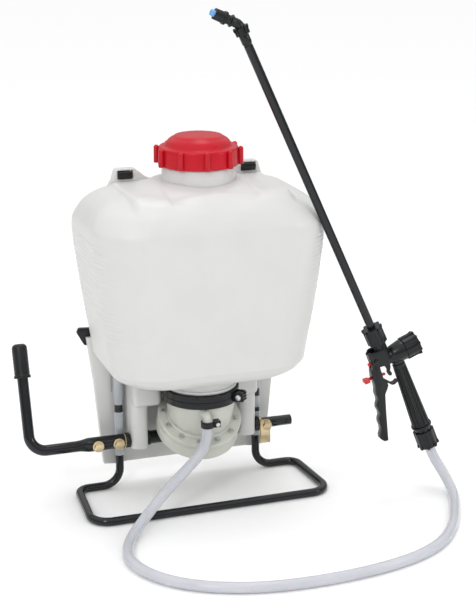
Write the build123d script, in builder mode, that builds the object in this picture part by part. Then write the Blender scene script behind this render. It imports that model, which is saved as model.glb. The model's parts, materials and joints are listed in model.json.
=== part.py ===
"""Backpack sprayer with a lever-driven diaphragm pump under its tank.

Frame: +X to the right, -Y to the pump side (away from the wearer), +Z up. The origin
is on the floor, on the mid-plane, in the plane of the two frame uprights. Millimetres.
"""

from build123d import *
from math import cos, pi, radians, sin, tan
import os

os.makedirs("parts", exist_ok=True)

SIDES = ((-1, "left"), (1, "right"))

# ---------------------------------------------------------------- driving dimensions
# Frame of bent steel tube
TUBE_R = 6.0
UPRIGHT_X = 108.0
UPRIGHT_TOP = 452.0
FOOT_REAR_X = 173.0
FOOT_FRONT_X = 181.0
FOOT_FRONT_Y = -126.0
SLEEVE_R = 7.0
SLEEVE_SPANS = {
    "left": ((54, 122), (134, 199)),
    "right": ((58, 97), (104, 122), (134, 199)),
}

# Tank
TANK_W = 170.0  # half width at its widest height
TANK_FRONT = -168.0
TANK_BACK = 22.0
TANK_WALL = 3.0
TANK_WIDE_Z = 412.0
TANK_FLOOR_Z = 200.0
TANK_CORNER = 68.0  # front corner radius in plan
TANK_BACK_CORNER = 24.0
NECK_Y = -60.0  # filler neck
NECK_R = 52.0
NECK_BORE = 46.0
NECK_TOP = 520.0
SUMP_Y = -62.0  # neck under the tank that carries the pump
SUMP_R = 50.0
SUMP_BORE = 46.0
SUMP_END = 163.0
GROOVE_W = 14.8  # groove behind the tank for each upright
SKIRT_Y = 12.0
PEDESTAL_IN = 71.0
PEDESTAL_OUT = 97.0
PEDESTAL_LOW = 72.5
HEAD_IN = 54.5  # wider head of each pedestal, under the tank
HEAD_LOW = 140.0
LUG_X = 92.5
LUG_TOP = 488.5

# Lid and strainer
LID_R = 56.8
LID_RIB_R = 63.2
LID_BOTTOM = 500.0
LID_SHOULDER = 526.0
LID_TOP = 543.0
LID_RIBS = 10

# Pump
SHAFT_Y = -20.0
SHAFT_Z = 83.0
SHAFT_R = 8.0
FIT = 0.06  # radial clearance of running fits
FLANGE_Y = -52.9
FLANGE_Z = 117.5
FLANGE_TILT = 61.5  # the pump axis leans this far up from level
FLANGE_R = 61.0
SCREW_CIRCLE = 53.1
SCREW_COUNT = 12
SCREW_START = 164.0
CRANK_R = 16.0
CRANK_PIN_R = 4.0
MID_STROKE = 30.0  # lever angle from rest to mid stroke
STROKE_RATIO = 14.7  # plunger travel in mm per radian of the lever

# Lever
SOCKET_R = 10.5
LEVER_R = 8.0
LEVER_X = -246.0
ARM_LEAN = 20.0
ARM_LENGTH = 155.0
GRIP_R = 11.5
GRIP_LENGTH = 47.0

# Lance and valve handle, both in one plane parallel to XZ
LANCE_Y = -151.0
LANCE_FOOT = (229.4, 262.4)  # where the tube leaves the upper nut
LANCE_LEAN = 24.67
LANCE_LENGTH = 452.0
LANCE_R = 6.1
ELBOW_UP = 483.0  # along the lance, from its foot to the middle of the elbow
GRIP_TOP = (273.6, 204.7)  # top of the hand grip
GRIP_LEAN = 21.86
NOZZLE_RISE = 23.8  # the nozzle points this far above level, to the left

# Hose
HOSE_R = 7.5
HOSE_ROUTE = [
    (-10, -124, 140), (-10, -124, 118), (-18, -126.5, 96), (-38, -130, 77), (-65, -137, 58),
    (-92, -148, 38), (-120, -164, 18), (-142, -188, 9), (-158, -220, 7.5), (-165, -256, 7.5),
    (-155, -296, 7.5), (-126, -338, 7.5), (-76, -371, 7.5), (-12, -391, 7.5), (64, -396, 7.5),
    (140, -390, 7.5), (205, -374, 7.5), (257, -345, 7.5), (295, -302, 7.5), (322, -254, 7.5),
    (343, -212, 7.5), (350, -184, 12.5), (347, -162, 28), (336.4, LANCE_Y, 48.4),
    (328.4, LANCE_Y, 68.2),
]

# ---------------------------------------------------------------- shared planes
flange_normal = Vector(0, -cos(radians(FLANGE_TILT)), sin(radians(FLANGE_TILT)))
flange_plane = Plane(origin=(0, FLANGE_Y, FLANGE_Z), x_dir=(1, 0, 0), z_dir=flange_normal)
crank_dir = Vector(0, -sin(radians(FLANGE_TILT)), -cos(radians(FLANGE_TILT)))
shaft_point = Vector(0, SHAFT_Y, SHAFT_Z)
# In the stroke plane, local X runs up the pump axis and local Y runs away from the shaft.
stroke_plane = Plane(origin=shaft_point, x_dir=flange_normal, z_dir=(1, 0, 0))
shaft_front = Plane(origin=shaft_point, x_dir=(1, 0, 0), z_dir=(0, -1, 0))
shaft_end = Plane(origin=shaft_point, x_dir=(0, 1, 0), z_dir=(1, 0, 0))
pump_axis_plane = Plane(origin=flange_plane.origin, x_dir=flange_normal, z_dir=(1, 0, 0))
to_flange = Vector(0, FLANGE_Y, FLANGE_Z) - shaft_point
FLANGE_UP = to_flange.dot(flange_normal)
AXIS_OUT = to_flange.dot(crank_dir)

lance_dir = Vector(-sin(radians(LANCE_LEAN)), 0, cos(radians(LANCE_LEAN)))
lance_plane = Plane(
    origin=(LANCE_FOOT[0], LANCE_Y, LANCE_FOOT[1]), x_dir=lance_dir, z_dir=(0, -1, 0)
)
grip_dir = Vector(sin(radians(GRIP_LEAN)), 0, -cos(radians(GRIP_LEAN)))
grip_plane = Plane(origin=(GRIP_TOP[0], LANCE_Y, GRIP_TOP[1]), x_dir=grip_dir, z_dir=(0, -1, 0))
elbow_point = lance_plane.origin + lance_dir * ELBOW_UP
nozzle_dir = Vector(-cos(radians(NOZZLE_RISE)), 0, sin(radians(NOZZLE_RISE)))
nozzle_plane = Plane(origin=elbow_point, x_dir=nozzle_dir, z_dir=(0, -1, 0))


# ---------------------------------------------------------------- helpers
def turn(profile, plane, mode=Mode.ADD):
    """Revolve (along, radius) points about the plane's own X axis."""
    with BuildSketch(plane) as section:
        with BuildLine():
            Polyline(*profile, close=True)
        make_face()
    revolve(section.sketch, axis=Axis(plane.origin, plane.x_dir), mode=mode)


def slab(outline, plane, low, high, mode=Mode.ADD, rounding=0.0):
    """Extrude an outline from one offset of a plane to another."""
    with BuildSketch(plane.offset(low)) as section:
        with BuildLine():
            Polyline(*outline, close=True)
        make_face()
        if rounding:
            fillet(section.vertices(), rounding)
    extrude(section.sketch, amount=high - low, mode=mode)


def disc(plane, radius, low, high, mode=Mode.ADD, at=((0, 0),)):
    """Extrude circles standing on a plane from one offset to another."""
    with BuildSketch(plane.offset(low)) as section:
        with Locations(*at):
            Circle(radius)
    extrude(section.sketch, amount=high - low, mode=mode)


def hexagon(plane, radius, low, high, mode=Mode.ADD, at=((0, 0),)):
    """Extrude hexagons given by their corner radius."""
    with BuildSketch(plane.offset(low)) as section:
        with Locations(*at):
            RegularPolygon(radius, 6)
    extrude(section.sketch, amount=high - low, mode=mode)


def ring_of(plane, circle, count, start, radius, low, high, mode=Mode.ADD):
    """Extrude equal circles spaced round a circle."""
    with BuildSketch(plane.offset(low)) as section:
        with PolarLocations(circle, count, start_angle=start):
            Circle(radius)
    extrude(section.sketch, amount=high - low, mode=mode)


def tube_along(points, radii, section_radius, mode=Mode.ADD):
    """Sweep a round section along straight runs joined by tangent arcs."""
    with BuildLine() as path:
        FilletPolyline(*points, radius=radii)
    line = path.wire()
    with BuildSketch(Plane(origin=line @ 0, z_dir=line % 0)) as section:
        Circle(section_radius)
    sweep(section.sketch, path=line, mode=mode)
    return line.length


def castellated(plane, length, radius, notches, mode=Mode.ADD):
    """Union nut: a round body with deep wrench notches, along the plane's X axis."""
    turn([(0, 0), (0, radius - 1), (1, radius), (length, radius), (length, 0)], plane, mode)
    end = Plane(origin=plane.origin, x_dir=plane.z_dir, z_dir=plane.x_dir)
    ring_of(end, radius + 0.6, notches, 0, 2.0, 3.0, length + 1, Mode.SUBTRACT)


def level(z):
    return Plane.XY.offset(z)


def about(y, z=0.0):
    """Upright plane whose X axis is vertical, centred on the mid-plane at depth y."""
    return Plane(origin=(0, y, z), x_dir=(0, 0, 1), z_dir=(0, -1, 0))


# ---------------------------------------------------------------- frame
foot_path = [
    (-UPRIGHT_X, 0, UPRIGHT_TOP), (-UPRIGHT_X, 0, TUBE_R), (-FOOT_REAR_X, 0, TUBE_R),
    (-FOOT_FRONT_X, FOOT_FRONT_Y, TUBE_R), (FOOT_FRONT_X, FOOT_FRONT_Y, TUBE_R),
    (FOOT_REAR_X, 0, TUBE_R), (UPRIGHT_X, 0, TUBE_R), (UPRIGHT_X, 0, UPRIGHT_TOP),
]
with BuildPart() as frame_tube:
    tube_along(foot_path, [26, 18, 27, 27, 18, 26], TUBE_R)
    tube_along(foot_path, [26, 18, 27, 27, 18, 26], TUBE_R - 1.2, Mode.SUBTRACT)
frame_tube.part.label = "frame_tube"
export_step(frame_tube.part, "parts/frame_tube.step")

for side, name in SIDES:
    with BuildPart() as tube_sleeve:
        for low, high in SLEEVE_SPANS[name]:
            disc(level(0), SLEEVE_R, low, high, at=((side * UPRIGHT_X, 0),))
            disc(level(0), TUBE_R + 0.02, low, high, Mode.SUBTRACT, at=((side * UPRIGHT_X, 0),))
    tube_sleeve.part.label = f"tube_sleeve_{name}"
    export_step(tube_sleeve.part, f"parts/tube_sleeve_{name}.step")


# ---------------------------------------------------------------- tank
def tank_rings(inset):
    """(height, half width, front, back) of the tank's rings, moved inwards by the inset."""
    shoulder, drop = 62.0, 54.0
    foot, rise = 34.0, 34.0
    low_w, low_front = 145.0, TANK_FRONT + 6
    rings = []
    for angle in (90, 65, 40, 18, 0):
        pull = foot * (1 - cos(radians(angle)))
        z = TANK_FLOOR_Z + inset + (rise - inset) * (1 - sin(radians(angle)))
        rings.append((z, low_w - pull, low_front + pull, TANK_BACK - 0.45 * pull))
    rings.append((320.0, 159.0, TANK_FRONT + 2, TANK_BACK))
    for angle in (0, 20, 42, 62, 78, 90):
        pull = shoulder * (1 - cos(radians(angle)))
        z = TANK_WIDE_Z + (drop - inset) * sin(radians(angle))
        rings.append((z, TANK_W - pull, TANK_FRONT + 0.85 * pull, TANK_BACK - 0.35 * pull))
    rings.append((478.0 - inset, 78.0, -118.0, -4.0))
    return [(z, w - inset, front + inset, back - inset) for z, w, front, back in rings]


def tank_body(inset, mode=Mode.ADD):
    sections = []
    for z, half_width, front, back in tank_rings(inset):
        front_corner = min(TANK_CORNER - inset, 0.42 * (back - front), 0.8 * half_width)
        with BuildSketch(level(z)) as ring:
            with Locations((0, (front + back) / 2)):
                Rectangle(2 * half_width, back - front)
            fillet(ring.vertices().group_by(Axis.Y)[0], front_corner)
            fillet(ring.vertices().group_by(Axis.Y)[-1], TANK_BACK_CORNER - inset)
        sections.append(ring.sketch)
    loft(sections, ruled=True, mode=mode)


skirt_outline = [
    (-150, 236), (-141, 169), (-129, 36), (-108, 34), (-94, 36),
    (94, 36), (108, 34), (129, 36), (141, 169), (150, 236),
]
skirt_plane = Plane(origin=(0, 0, 0), x_dir=(1, 0, 0), z_dir=(0, -1, 0))

with BuildPart() as tank:
    tank_body(0)
    # Skirt that hangs behind the pump, hollow from the back
    slab(skirt_outline, skirt_plane, -TANK_BACK, -SKIRT_Y)
    slab([(-118, 60), (-132, 188), (132, 188), (118, 60)], skirt_plane, -TANK_BACK - 1, -16,
         Mode.SUBTRACT)
    # Pedestals that hold the lever shaft
    for side, name in SIDES:
        for inner, depth, low in ((PEDESTAL_IN, 52, PEDESTAL_LOW), (HEAD_IN, 60, HEAD_LOW)):
            with BuildSketch(level(low)) as pedestal:
                with Locations((side * (inner + PEDESTAL_OUT) / 2, 15 - depth / 2)):
                    Rectangle(PEDESTAL_OUT - inner, depth)
                fillet(pedestal.vertices().group_by(Axis.Y)[0], 12)
            extrude(pedestal.sketch, amount=212 - low)
    # Necks
    disc(level(0), NECK_R, 468, 499, at=((0, NECK_Y),))
    disc(level(0), NECK_R - 3, 499, NECK_TOP, at=((0, NECK_Y),))
    disc(level(0), SUMP_R, SUMP_END, 214, at=((0, SUMP_Y),))
    # Lugs for the shoulder straps
    for side, name in SIDES:
        lug = [(side * (LUG_X + dx), z) for dx, z in ((-20, 455), (20, 452), (13.5, LUG_TOP),
                                                      (-13.5, LUG_TOP))]
        slab(lug, skirt_plane, -9, 3)
    # Inside
    tank_body(TANK_WALL, Mode.SUBTRACT)
    disc(level(0), NECK_BORE, 460, NECK_TOP + 1, Mode.SUBTRACT, at=((0, NECK_Y),))
    disc(level(0), SUMP_BORE, SUMP_END - 1, 214, Mode.SUBTRACT, at=((0, SUMP_Y),))
    # Walls round the upright grooves, then the grooves themselves
    for side, name in SIDES:
        with BuildSketch(level(202)) as groove_wall:
            with Locations((side * UPRIGHT_X, 5.5)):
                Rectangle(GROOVE_W + 6, 32)
        extrude(groove_wall.sketch, amount=250)
        with BuildSketch(level(150)) as groove:
            with Locations((side * UPRIGHT_X, 16)):
                Rectangle(GROOVE_W, 46.8)
        extrude(groove.sketch, amount=UPRIGHT_TOP + 3 - 150, mode=Mode.SUBTRACT)
        with BuildSketch(level(30)) as sleeve_path:
            with Locations((side * UPRIGHT_X, 0)):
                Circle(GROOVE_W / 2)
        extrude(sleeve_path.sketch, amount=130, mode=Mode.SUBTRACT)
        slot = [(side * LUG_X + dx, z) for dx, z in ((-11.3, 473.5), (11.3, 473.5),
                                                     (11.3, 486), (-11.3, 486))]
        slab(slot, skirt_plane, -30, 20, Mode.SUBTRACT)
        # Pocket in each pedestal, open to the back
        pocket = [(side * x, z) for x, z in ((75, 106), (93, 106), (93, 192),
                                        (58.5, 192), (58.5, 144.5), (75, 144.5))]
        slab(pocket, skirt_plane, -TANK_BACK - 1, 32, Mode.SUBTRACT)
    # Shaft bearings
    bearing = Plane(origin=(-120, SHAFT_Y, SHAFT_Z), x_dir=(0, 1, 0), z_dir=(1, 0, 0))
    disc(bearing, SHAFT_R + FIT, 0, 240, Mode.SUBTRACT)
tank.part.label = "tank"
export_step(tank.part, "parts/tank.step")

# ---------------------------------------------------------------- strainer, seal and lid
with BuildPart() as strainer:
    disc(level(0), NECK_R - 4, NECK_TOP + 0.1, NECK_TOP + 1.9, at=((0, NECK_Y),))
    disc(level(0), NECK_BORE - 1.2, 404, NECK_TOP + 0.2, at=((0, NECK_Y),))
    disc(level(0), NECK_BORE - 3.2, 406, NECK_TOP + 2, Mode.SUBTRACT, at=((0, NECK_Y),))
    with BuildSketch(level(403)) as mesh_holes:
        with Locations((0, NECK_Y)):
            with GridLocations(13, 13, 5, 5):
                Circle(4.2)
    extrude(mesh_holes.sketch, amount=4, mode=Mode.SUBTRACT)
strainer.part.label = "filler_strainer"
export_step(strainer.part, "parts/filler_strainer.step")

with BuildPart() as lid_seal:
    disc(level(0), NECK_R - 3.5, NECK_TOP + 2, NECK_TOP + 4, at=((0, NECK_Y),))
    disc(level(0), NECK_BORE - 2, NECK_TOP + 2, NECK_TOP + 4, Mode.SUBTRACT, at=((0, NECK_Y),))
lid_seal.part.label = "lid_seal"
export_step(lid_seal.part, "parts/lid_seal.step")

lid_plane = about(NECK_Y)
with BuildPart() as lid:
    turn(
        [(LID_BOTTOM, 50.5), (LID_BOTTOM, LID_R), (LID_SHOULDER - 2, LID_R - 1.5),
         (LID_SHOULDER, LID_R - 4), (LID_SHOULDER + 2, 47), (LID_SHOULDER + 9, 41),
         (LID_TOP - 2, 33), (LID_TOP, 18), (LID_TOP, 0), (LID_TOP - 3, 0),
         (LID_TOP - 5, 30), (LID_SHOULDER + 5, 38), (NECK_TOP + 4.3, 42), (NECK_TOP + 4.3, 50.5)],
        lid_plane,
    )
    for index in range(LID_RIBS):
        angle = 2 * pi * index / LID_RIBS + radians(12)
        with BuildSketch(level(LID_BOTTOM + 0.5)) as rib:
            with Locations((59.2 * cos(angle), NECK_Y + 59.2 * sin(angle))):
                Circle(LID_RIB_R - 59.2)
        extrude(rib.sketch, amount=23.5)
    disc(level(0), 50.5, LID_BOTTOM - 1, NECK_TOP + 4.3, Mode.SUBTRACT, at=((0, NECK_Y),))
lid.part.label = "lid"
export_step(lid.part, "parts/lid.step")

# ---------------------------------------------------------------- clamp under the tank
CLAMP_ANGLE = -40.0
clamp_out = Vector(cos(radians(CLAMP_ANGLE)), sin(radians(CLAMP_ANGLE)), 0)
clamp_plane = Plane(origin=(0, SUMP_Y, 0), x_dir=clamp_out, z_dir=(0, 0, 1))
clamp_ears = Plane(
    origin=Vector(0, SUMP_Y, 163) + clamp_out * 61,
    x_dir=clamp_out,
    z_dir=(sin(radians(CLAMP_ANGLE)), -cos(radians(CLAMP_ANGLE)), 0),
)
with BuildPart() as neck_clamp:
    disc(clamp_plane, 55, 153, 173)
    for low, high in ((-8, -2), (2, 8)):
        slab([(-8, -7), (7, -7), (7, 7), (-8, 7)], clamp_ears, low, high)
    disc(clamp_plane, SUMP_R + 0.05, 152, 174, Mode.SUBTRACT)
    disc(clamp_ears, 2.1, -9, 9, Mode.SUBTRACT, at=((1, 0),))
neck_clamp.part.label = "neck_clamp"
export_step(neck_clamp.part, "parts/neck_clamp.step")

with BuildPart() as neck_clamp_screw:
    disc(clamp_ears, 2.05, -13, 8, at=((1, 0),))
    disc(clamp_ears, 4.2, 8, 11, at=((1, 0),))
    hexagon(clamp_ears, 4.2, -12, -8, at=((1, 0),))
neck_clamp_screw.part.label = "neck_clamp_screw"
export_step(neck_clamp_screw.part, "parts/neck_clamp_screw.step")


# ---------------------------------------------------------------- pump
def pump_bowl(inset, start, end, mode=Mode.ADD):
    """Bowl that rises from the tilted flange to the level neck."""
    bend = Plane(origin=(0, FLANGE_Y - 6.5, FLANGE_Z + 20), x_dir=(1, 0, 0),
                 z_dir=(0, -cos(radians(74)), sin(radians(74))))
    sections = []
    for plane, radius, centre in (
        (flange_plane.offset(start), 45.5 - inset, (0, 0)),
        (bend, 48.5 - inset, (0, 0)),
        (level(151), SUMP_R - inset, (0, SUMP_Y)),
        (level(end), SUMP_R - inset, (0, SUMP_Y)),
    ):
        with BuildSketch(plane) as section:
            with Locations(centre):
                Circle(radius)
        sections.append(section.sketch)
    loft(sections, ruled=True, mode=mode)


OUTLET_X = -10.0
OUTLET_Z = 146.2
OUTLET_Y = -113.0
DOWN_Y = -124.0
outlet_front = Plane(origin=(OUTLET_X, 0, OUTLET_Z), x_dir=(1, 0, 0), z_dir=(0, -1, 0))
with BuildPart() as pump_dome:
    disc(flange_plane, FLANGE_R, 0, 7)
    pump_bowl(0, 0.5, SUMP_END - 0.1)
    disc(outlet_front, 6.8, 80, -OUTLET_Y)
    pump_bowl(4, -0.5, 158, Mode.SUBTRACT)
    disc(level(0), SUMP_R - 1.9, 157, 164, Mode.SUBTRACT, at=((0, SUMP_Y),))
    disc(outlet_front, 4.0, 70, 120, Mode.SUBTRACT)
    ring_of(flange_plane, SCREW_CIRCLE, SCREW_COUNT, SCREW_START, 2.0, -1, 8, Mode.SUBTRACT)
pump_dome.part.label = "pump_dome"
export_step(pump_dome.part, "parts/pump_dome.step")

DIAPHRAGM_T = 2.5
BASE_DEEP = 22.5
with BuildPart() as pump_base:
    disc(flange_plane, FLANGE_R, -BASE_DEEP, -DIAPHRAGM_T)
    disc(flange_plane, 47, -19, 0, Mode.SUBTRACT)
    disc(flange_plane, 30, -24, 0, Mode.SUBTRACT)
    ear = [(FLANGE_UP - BASE_DEEP + 0.5, -14), (FLANGE_UP - BASE_DEEP + 0.5, 34), (2, 14),
           (-13, 9), (-13, -9), (0, -14)]
    for low, high in ((-28, -14), (14, 28)):
        slab(ear, stroke_plane, low, high)
    disc(stroke_plane, SHAFT_R + FIT, -30, 30, Mode.SUBTRACT)
    ring_of(flange_plane, SCREW_CIRCLE, SCREW_COUNT, SCREW_START, 2.0, -14, 0, Mode.SUBTRACT)
pump_base.part.label = "pump_base"
export_step(pump_base.part, "parts/pump_base.step")

with BuildPart() as flange_screws:
    ring_of(flange_plane, SCREW_CIRCLE, SCREW_COUNT, SCREW_START, 1.95, -13.5, 7.1)
    ring_of(flange_plane, SCREW_CIRCLE, SCREW_COUNT, SCREW_START, 2.8, 7.0, 9.4)
flange_screws.part.label = "flange_screws"
export_step(flange_screws.part, "parts/flange_screws.step")

# The plunger rests this far below mid stroke.
REST_DROP = STROKE_RATIO * radians(MID_STROKE)
PLATE_R = 20.0
ROD_R = 5.0
with BuildPart() as diaphragm:
    turn(
        [(0, 60.5), (0, 41), (-REST_DROP, 23), (-REST_DROP, ROD_R + 0.05),
         (-REST_DROP - DIAPHRAGM_T, ROD_R + 0.05), (-REST_DROP - DIAPHRAGM_T, 22),
         (-DIAPHRAGM_T, 40), (-DIAPHRAGM_T, 60.5)],
        pump_axis_plane,
    )
    ring_of(flange_plane, SCREW_CIRCLE, SCREW_COUNT, SCREW_START, 2.0, -5, 1, Mode.SUBTRACT)
diaphragm.part.label = "diaphragm"
export_step(diaphragm.part, "parts/diaphragm.step")

PLATE_T = 3.0
for name, low in (("upper", -REST_DROP), ("lower", -REST_DROP - DIAPHRAGM_T - PLATE_T)):
    with BuildPart() as diaphragm_plate:
        disc(flange_plane, PLATE_R, low, low + PLATE_T)
        disc(flange_plane, ROD_R + 0.02, low - 1, low + PLATE_T + 1, Mode.SUBTRACT)
    diaphragm_plate.part.label = f"diaphragm_plate_{name}"
    export_step(diaphragm_plate.part, f"parts/diaphragm_plate_{name}.step")

NUT_TOP = -REST_DROP + PLATE_T + 4
with BuildPart() as plunger_nut:
    hexagon(flange_plane, 9, -REST_DROP + PLATE_T, NUT_TOP)
    disc(flange_plane, ROD_R + 0.02, -REST_DROP, NUT_TOP + 1, Mode.SUBTRACT)
plunger_nut.part.label = "plunger_nut"
export_step(plunger_nut.part, "parts/plunger_nut.step")

# The crank pin runs in the long eye of the plunger. It moves on an arc and the plunger at
# a constant ratio, so the eye has about 0.8 mm of play each side of the pin.
EYE_OUT = 13.15
EYE_HALF = 5.5
with BuildPart() as plunger_rod:
    with BuildSketch(stroke_plane.offset(-EYE_HALF)) as eye:
        with Locations((-REST_DROP, EYE_OUT)):
            RectangleRounded(19, 24, 5)
            RectangleRounded(9.6, 14.7, 4, mode=Mode.SUBTRACT)
    extrude(eye.sketch, amount=2 * EYE_HALF)
    disc(flange_plane, ROD_R, -FLANGE_UP - REST_DROP + 8, NUT_TOP - 0.5)
plunger_rod.part.label = "plunger_rod"
export_step(plunger_rod.part, "parts/plunger_rod.step")

with BuildPart() as inlet_valve_plate:
    disc(level(0), 47.9, 157.1, 160, at=((0, SUMP_Y),))
    with BuildSketch(level(156)) as ports:
        with Locations((0, SUMP_Y)):
            with PolarLocations(20, 5):
                Circle(6)
    extrude(ports.sketch, amount=5, mode=Mode.SUBTRACT)
inlet_valve_plate.part.label = "inlet_valve_plate"
export_step(inlet_valve_plate.part, "parts/inlet_valve_plate.step")

with BuildPart() as inlet_flap:
    disc(level(0), 31, 155.4, 157, at=((0, SUMP_Y),))
inlet_flap.part.label = "inlet_flap"
export_step(inlet_flap.part, "parts/inlet_flap.step")

with BuildPart() as outlet_elbow:
    tube_along(
        [(OUTLET_X, OUTLET_Y, OUTLET_Z), (OUTLET_X, DOWN_Y, OUTLET_Z), (OUTLET_X, DOWN_Y, 140)],
        [6.1], 5.8,
    )
    disc(level(0), HOSE_R, 140, 140.8, at=((OUTLET_X, DOWN_Y),))
outlet_elbow.part.label = "outlet_elbow"
export_step(outlet_elbow.part, "parts/outlet_elbow.step")

hose_clamp_plane = Plane(origin=(OUTLET_X, DOWN_Y, 0), x_dir=(1, 0, 0), z_dir=(0, 0, 1))
hose_screw_plane = Plane(origin=(OUTLET_X + 13, DOWN_Y, 134.5), x_dir=(1, 0, 0), z_dir=(0, -1, 0))
with BuildPart() as hose_clamp:
    disc(hose_clamp_plane, 9.6, 130, 139)
    for low, high in ((-6, -1.2), (1.2, 6)):
        slab([(-5, -4.5), (5, -4.5), (5, 4.5), (-5, 4.5)], hose_screw_plane, low, high)
    disc(hose_clamp_plane, HOSE_R + 0.1, 129, 140, Mode.SUBTRACT)
    disc(hose_screw_plane, 1.6, -8, 8, Mode.SUBTRACT, at=((0.5, 0),))
hose_clamp.part.label = "hose_clamp"
export_step(hose_clamp.part, "parts/hose_clamp.step")

with BuildPart() as hose_clamp_screw:
    disc(hose_screw_plane, 1.55, -8, 6.1, at=((0.5, 0),))
    disc(hose_screw_plane, 3.0, 6, 8, at=((0.5, 0),))
hose_clamp_screw.part.label = "hose_clamp_screw"
export_step(hose_clamp_screw.part, "parts/hose_clamp_screw.step")

# ---------------------------------------------------------------- shaft and lever
STUB_END = 157.0
STUB_START = 133.0
STUB_R = 7.75
CHEEK_IN = 6.3
CHEEK_OUT = 11.5
BOLT_XS = (-147.7, -116.5)
BRACKET_X = 115.0
crank_pin = (-CRANK_R * sin(radians(MID_STROKE)), CRANK_R * cos(radians(MID_STROKE)))
with BuildPart() as crankshaft:
    for low, high in ((-STUB_END, -CHEEK_IN), (CHEEK_IN, STUB_START)):
        disc(shaft_end, SHAFT_R, low, high)
    disc(shaft_end, STUB_R, STUB_START, STUB_END)
    for low in (-CHEEK_OUT, CHEEK_IN):
        with BuildSketch(stroke_plane.offset(low)) as cheek:
            Circle(10)
            with Locations(crank_pin):
                Circle(6.5)
            make_hull()
        extrude(cheek.sketch, amount=CHEEK_OUT - CHEEK_IN)
    disc(stroke_plane, CRANK_PIN_R, -CHEEK_IN, CHEEK_IN, at=(crank_pin,))
    for low, high in ((-STUB_END - 1, -20), (20, STUB_END + 1)):
        disc(shaft_end, SHAFT_R - 2.4, low, high, Mode.SUBTRACT)
    disc(shaft_front, 4, -12, 12, Mode.SUBTRACT, at=((BOLT_XS[0], 0), (BOLT_XS[1], 0),
                                                     (BRACKET_X, 0)))
    disc(shaft_front, 2.1, -12, 12, Mode.SUBTRACT, at=((147.4, 0),))
crankshaft.part.label = "crankshaft"
export_step(crankshaft.part, "parts/crankshaft.step")

with BuildPart() as shaft_spacers:
    for low, high in ((-70.4, -29), (29, 70.4)):
        disc(shaft_end, 9.9, low, high)
    for low, high in ((-70.4, -67), (67, 70.4)):
        disc(shaft_end, 11.2, low, high)
    disc(shaft_end, SHAFT_R + 0.02, -71, 71, Mode.SUBTRACT)
shaft_spacers.part.label = "shaft_spacers"
export_step(shaft_spacers.part, "parts/shaft_spacers.step")

with BuildPart() as shaft_bushes:
    for low, high in ((-105, -97.6), (97.6, 105)):
        hexagon(shaft_end, 11.3, low, high)
    disc(shaft_end, SHAFT_R + 0.02, -110, 110, Mode.SUBTRACT)
shaft_bushes.part.label = "shaft_bushes"
export_step(shaft_bushes.part, "parts/shaft_bushes.step")

with BuildPart() as shaft_washers:
    for low, high in ((-106, -105), (105, 106)):
        disc(shaft_end, 10.9, low, high)
    disc(shaft_end, SHAFT_R + 0.02, -110, 110, Mode.SUBTRACT)
shaft_washers.part.label = "shaft_washers"
export_step(shaft_washers.part, "parts/shaft_washers.step")

arm_dir = Vector(0, sin(radians(ARM_LEAN)), cos(radians(ARM_LEAN)))
bend_point = Vector(LEVER_X, SHAFT_Y, SHAFT_Z)
arm_plane = Plane(origin=bend_point, x_dir=arm_dir, z_dir=(-1, 0, 0))
socket_plane = Plane(origin=shaft_point, x_dir=(-1, 0, 0), z_dir=(0, -1, 0))
lever_path = [(-160, SHAFT_Y, SHAFT_Z), bend_point, bend_point + arm_dir * ARM_LENGTH]
with BuildPart() as lever_tube:
    tube_along(lever_path, [24], LEVER_R)
    turn([(106.2, 0), (106.2, SOCKET_R), (158, SOCKET_R), (170, LEVER_R - 0.05), (170, 0)],
         socket_plane)
    tube_along(lever_path, [24], LEVER_R - 1.6, Mode.SUBTRACT)
    turn([(105, 0), (105, SHAFT_R + 0.02), (158, SHAFT_R + 0.02), (158, 0)], socket_plane,
         Mode.SUBTRACT)
    disc(shaft_front, 4, -12, 12, Mode.SUBTRACT, at=((BOLT_XS[0], 0), (BOLT_XS[1], 0)))
lever_tube.part.label = "lever_tube"
export_step(lever_tube.part, "parts/lever_tube.step")

with BuildPart() as lever_grip:
    turn(
        [(ARM_LENGTH - GRIP_LENGTH, LEVER_R + 0.02), (ARM_LENGTH - GRIP_LENGTH, GRIP_R - 0.8),
         (ARM_LENGTH - GRIP_LENGTH + 1.5, GRIP_R), (ARM_LENGTH - 2, GRIP_R),
         (ARM_LENGTH + 2.5, GRIP_R - 3.5), (ARM_LENGTH + 3.2, 0), (ARM_LENGTH + 0.1, 0),
         (ARM_LENGTH + 0.1, LEVER_R + 0.02)],
        arm_plane,
    )
lever_grip.part.label = "lever_grip"
export_step(lever_grip.part, "parts/lever_grip.step")

washer_at = [(x, 0) for x in BOLT_XS]
with BuildPart() as lever_bolts:
    disc(shaft_front, 3.9, -10, 12.2, at=washer_at)
    hexagon(shaft_front, 7.4, 12.1, 17.4, at=washer_at)
lever_bolts.part.label = "lever_bolts"
export_step(lever_bolts.part, "parts/lever_bolts.step")

with BuildPart() as lever_washers:
    disc(shaft_front, 8.4, 10.6, 12.1, at=washer_at)
    disc(shaft_front, 3.95, 10, 13, Mode.SUBTRACT, at=washer_at)
lever_washers.part.label = "lever_washers"
export_step(lever_washers.part, "parts/lever_washers.step")

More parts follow.
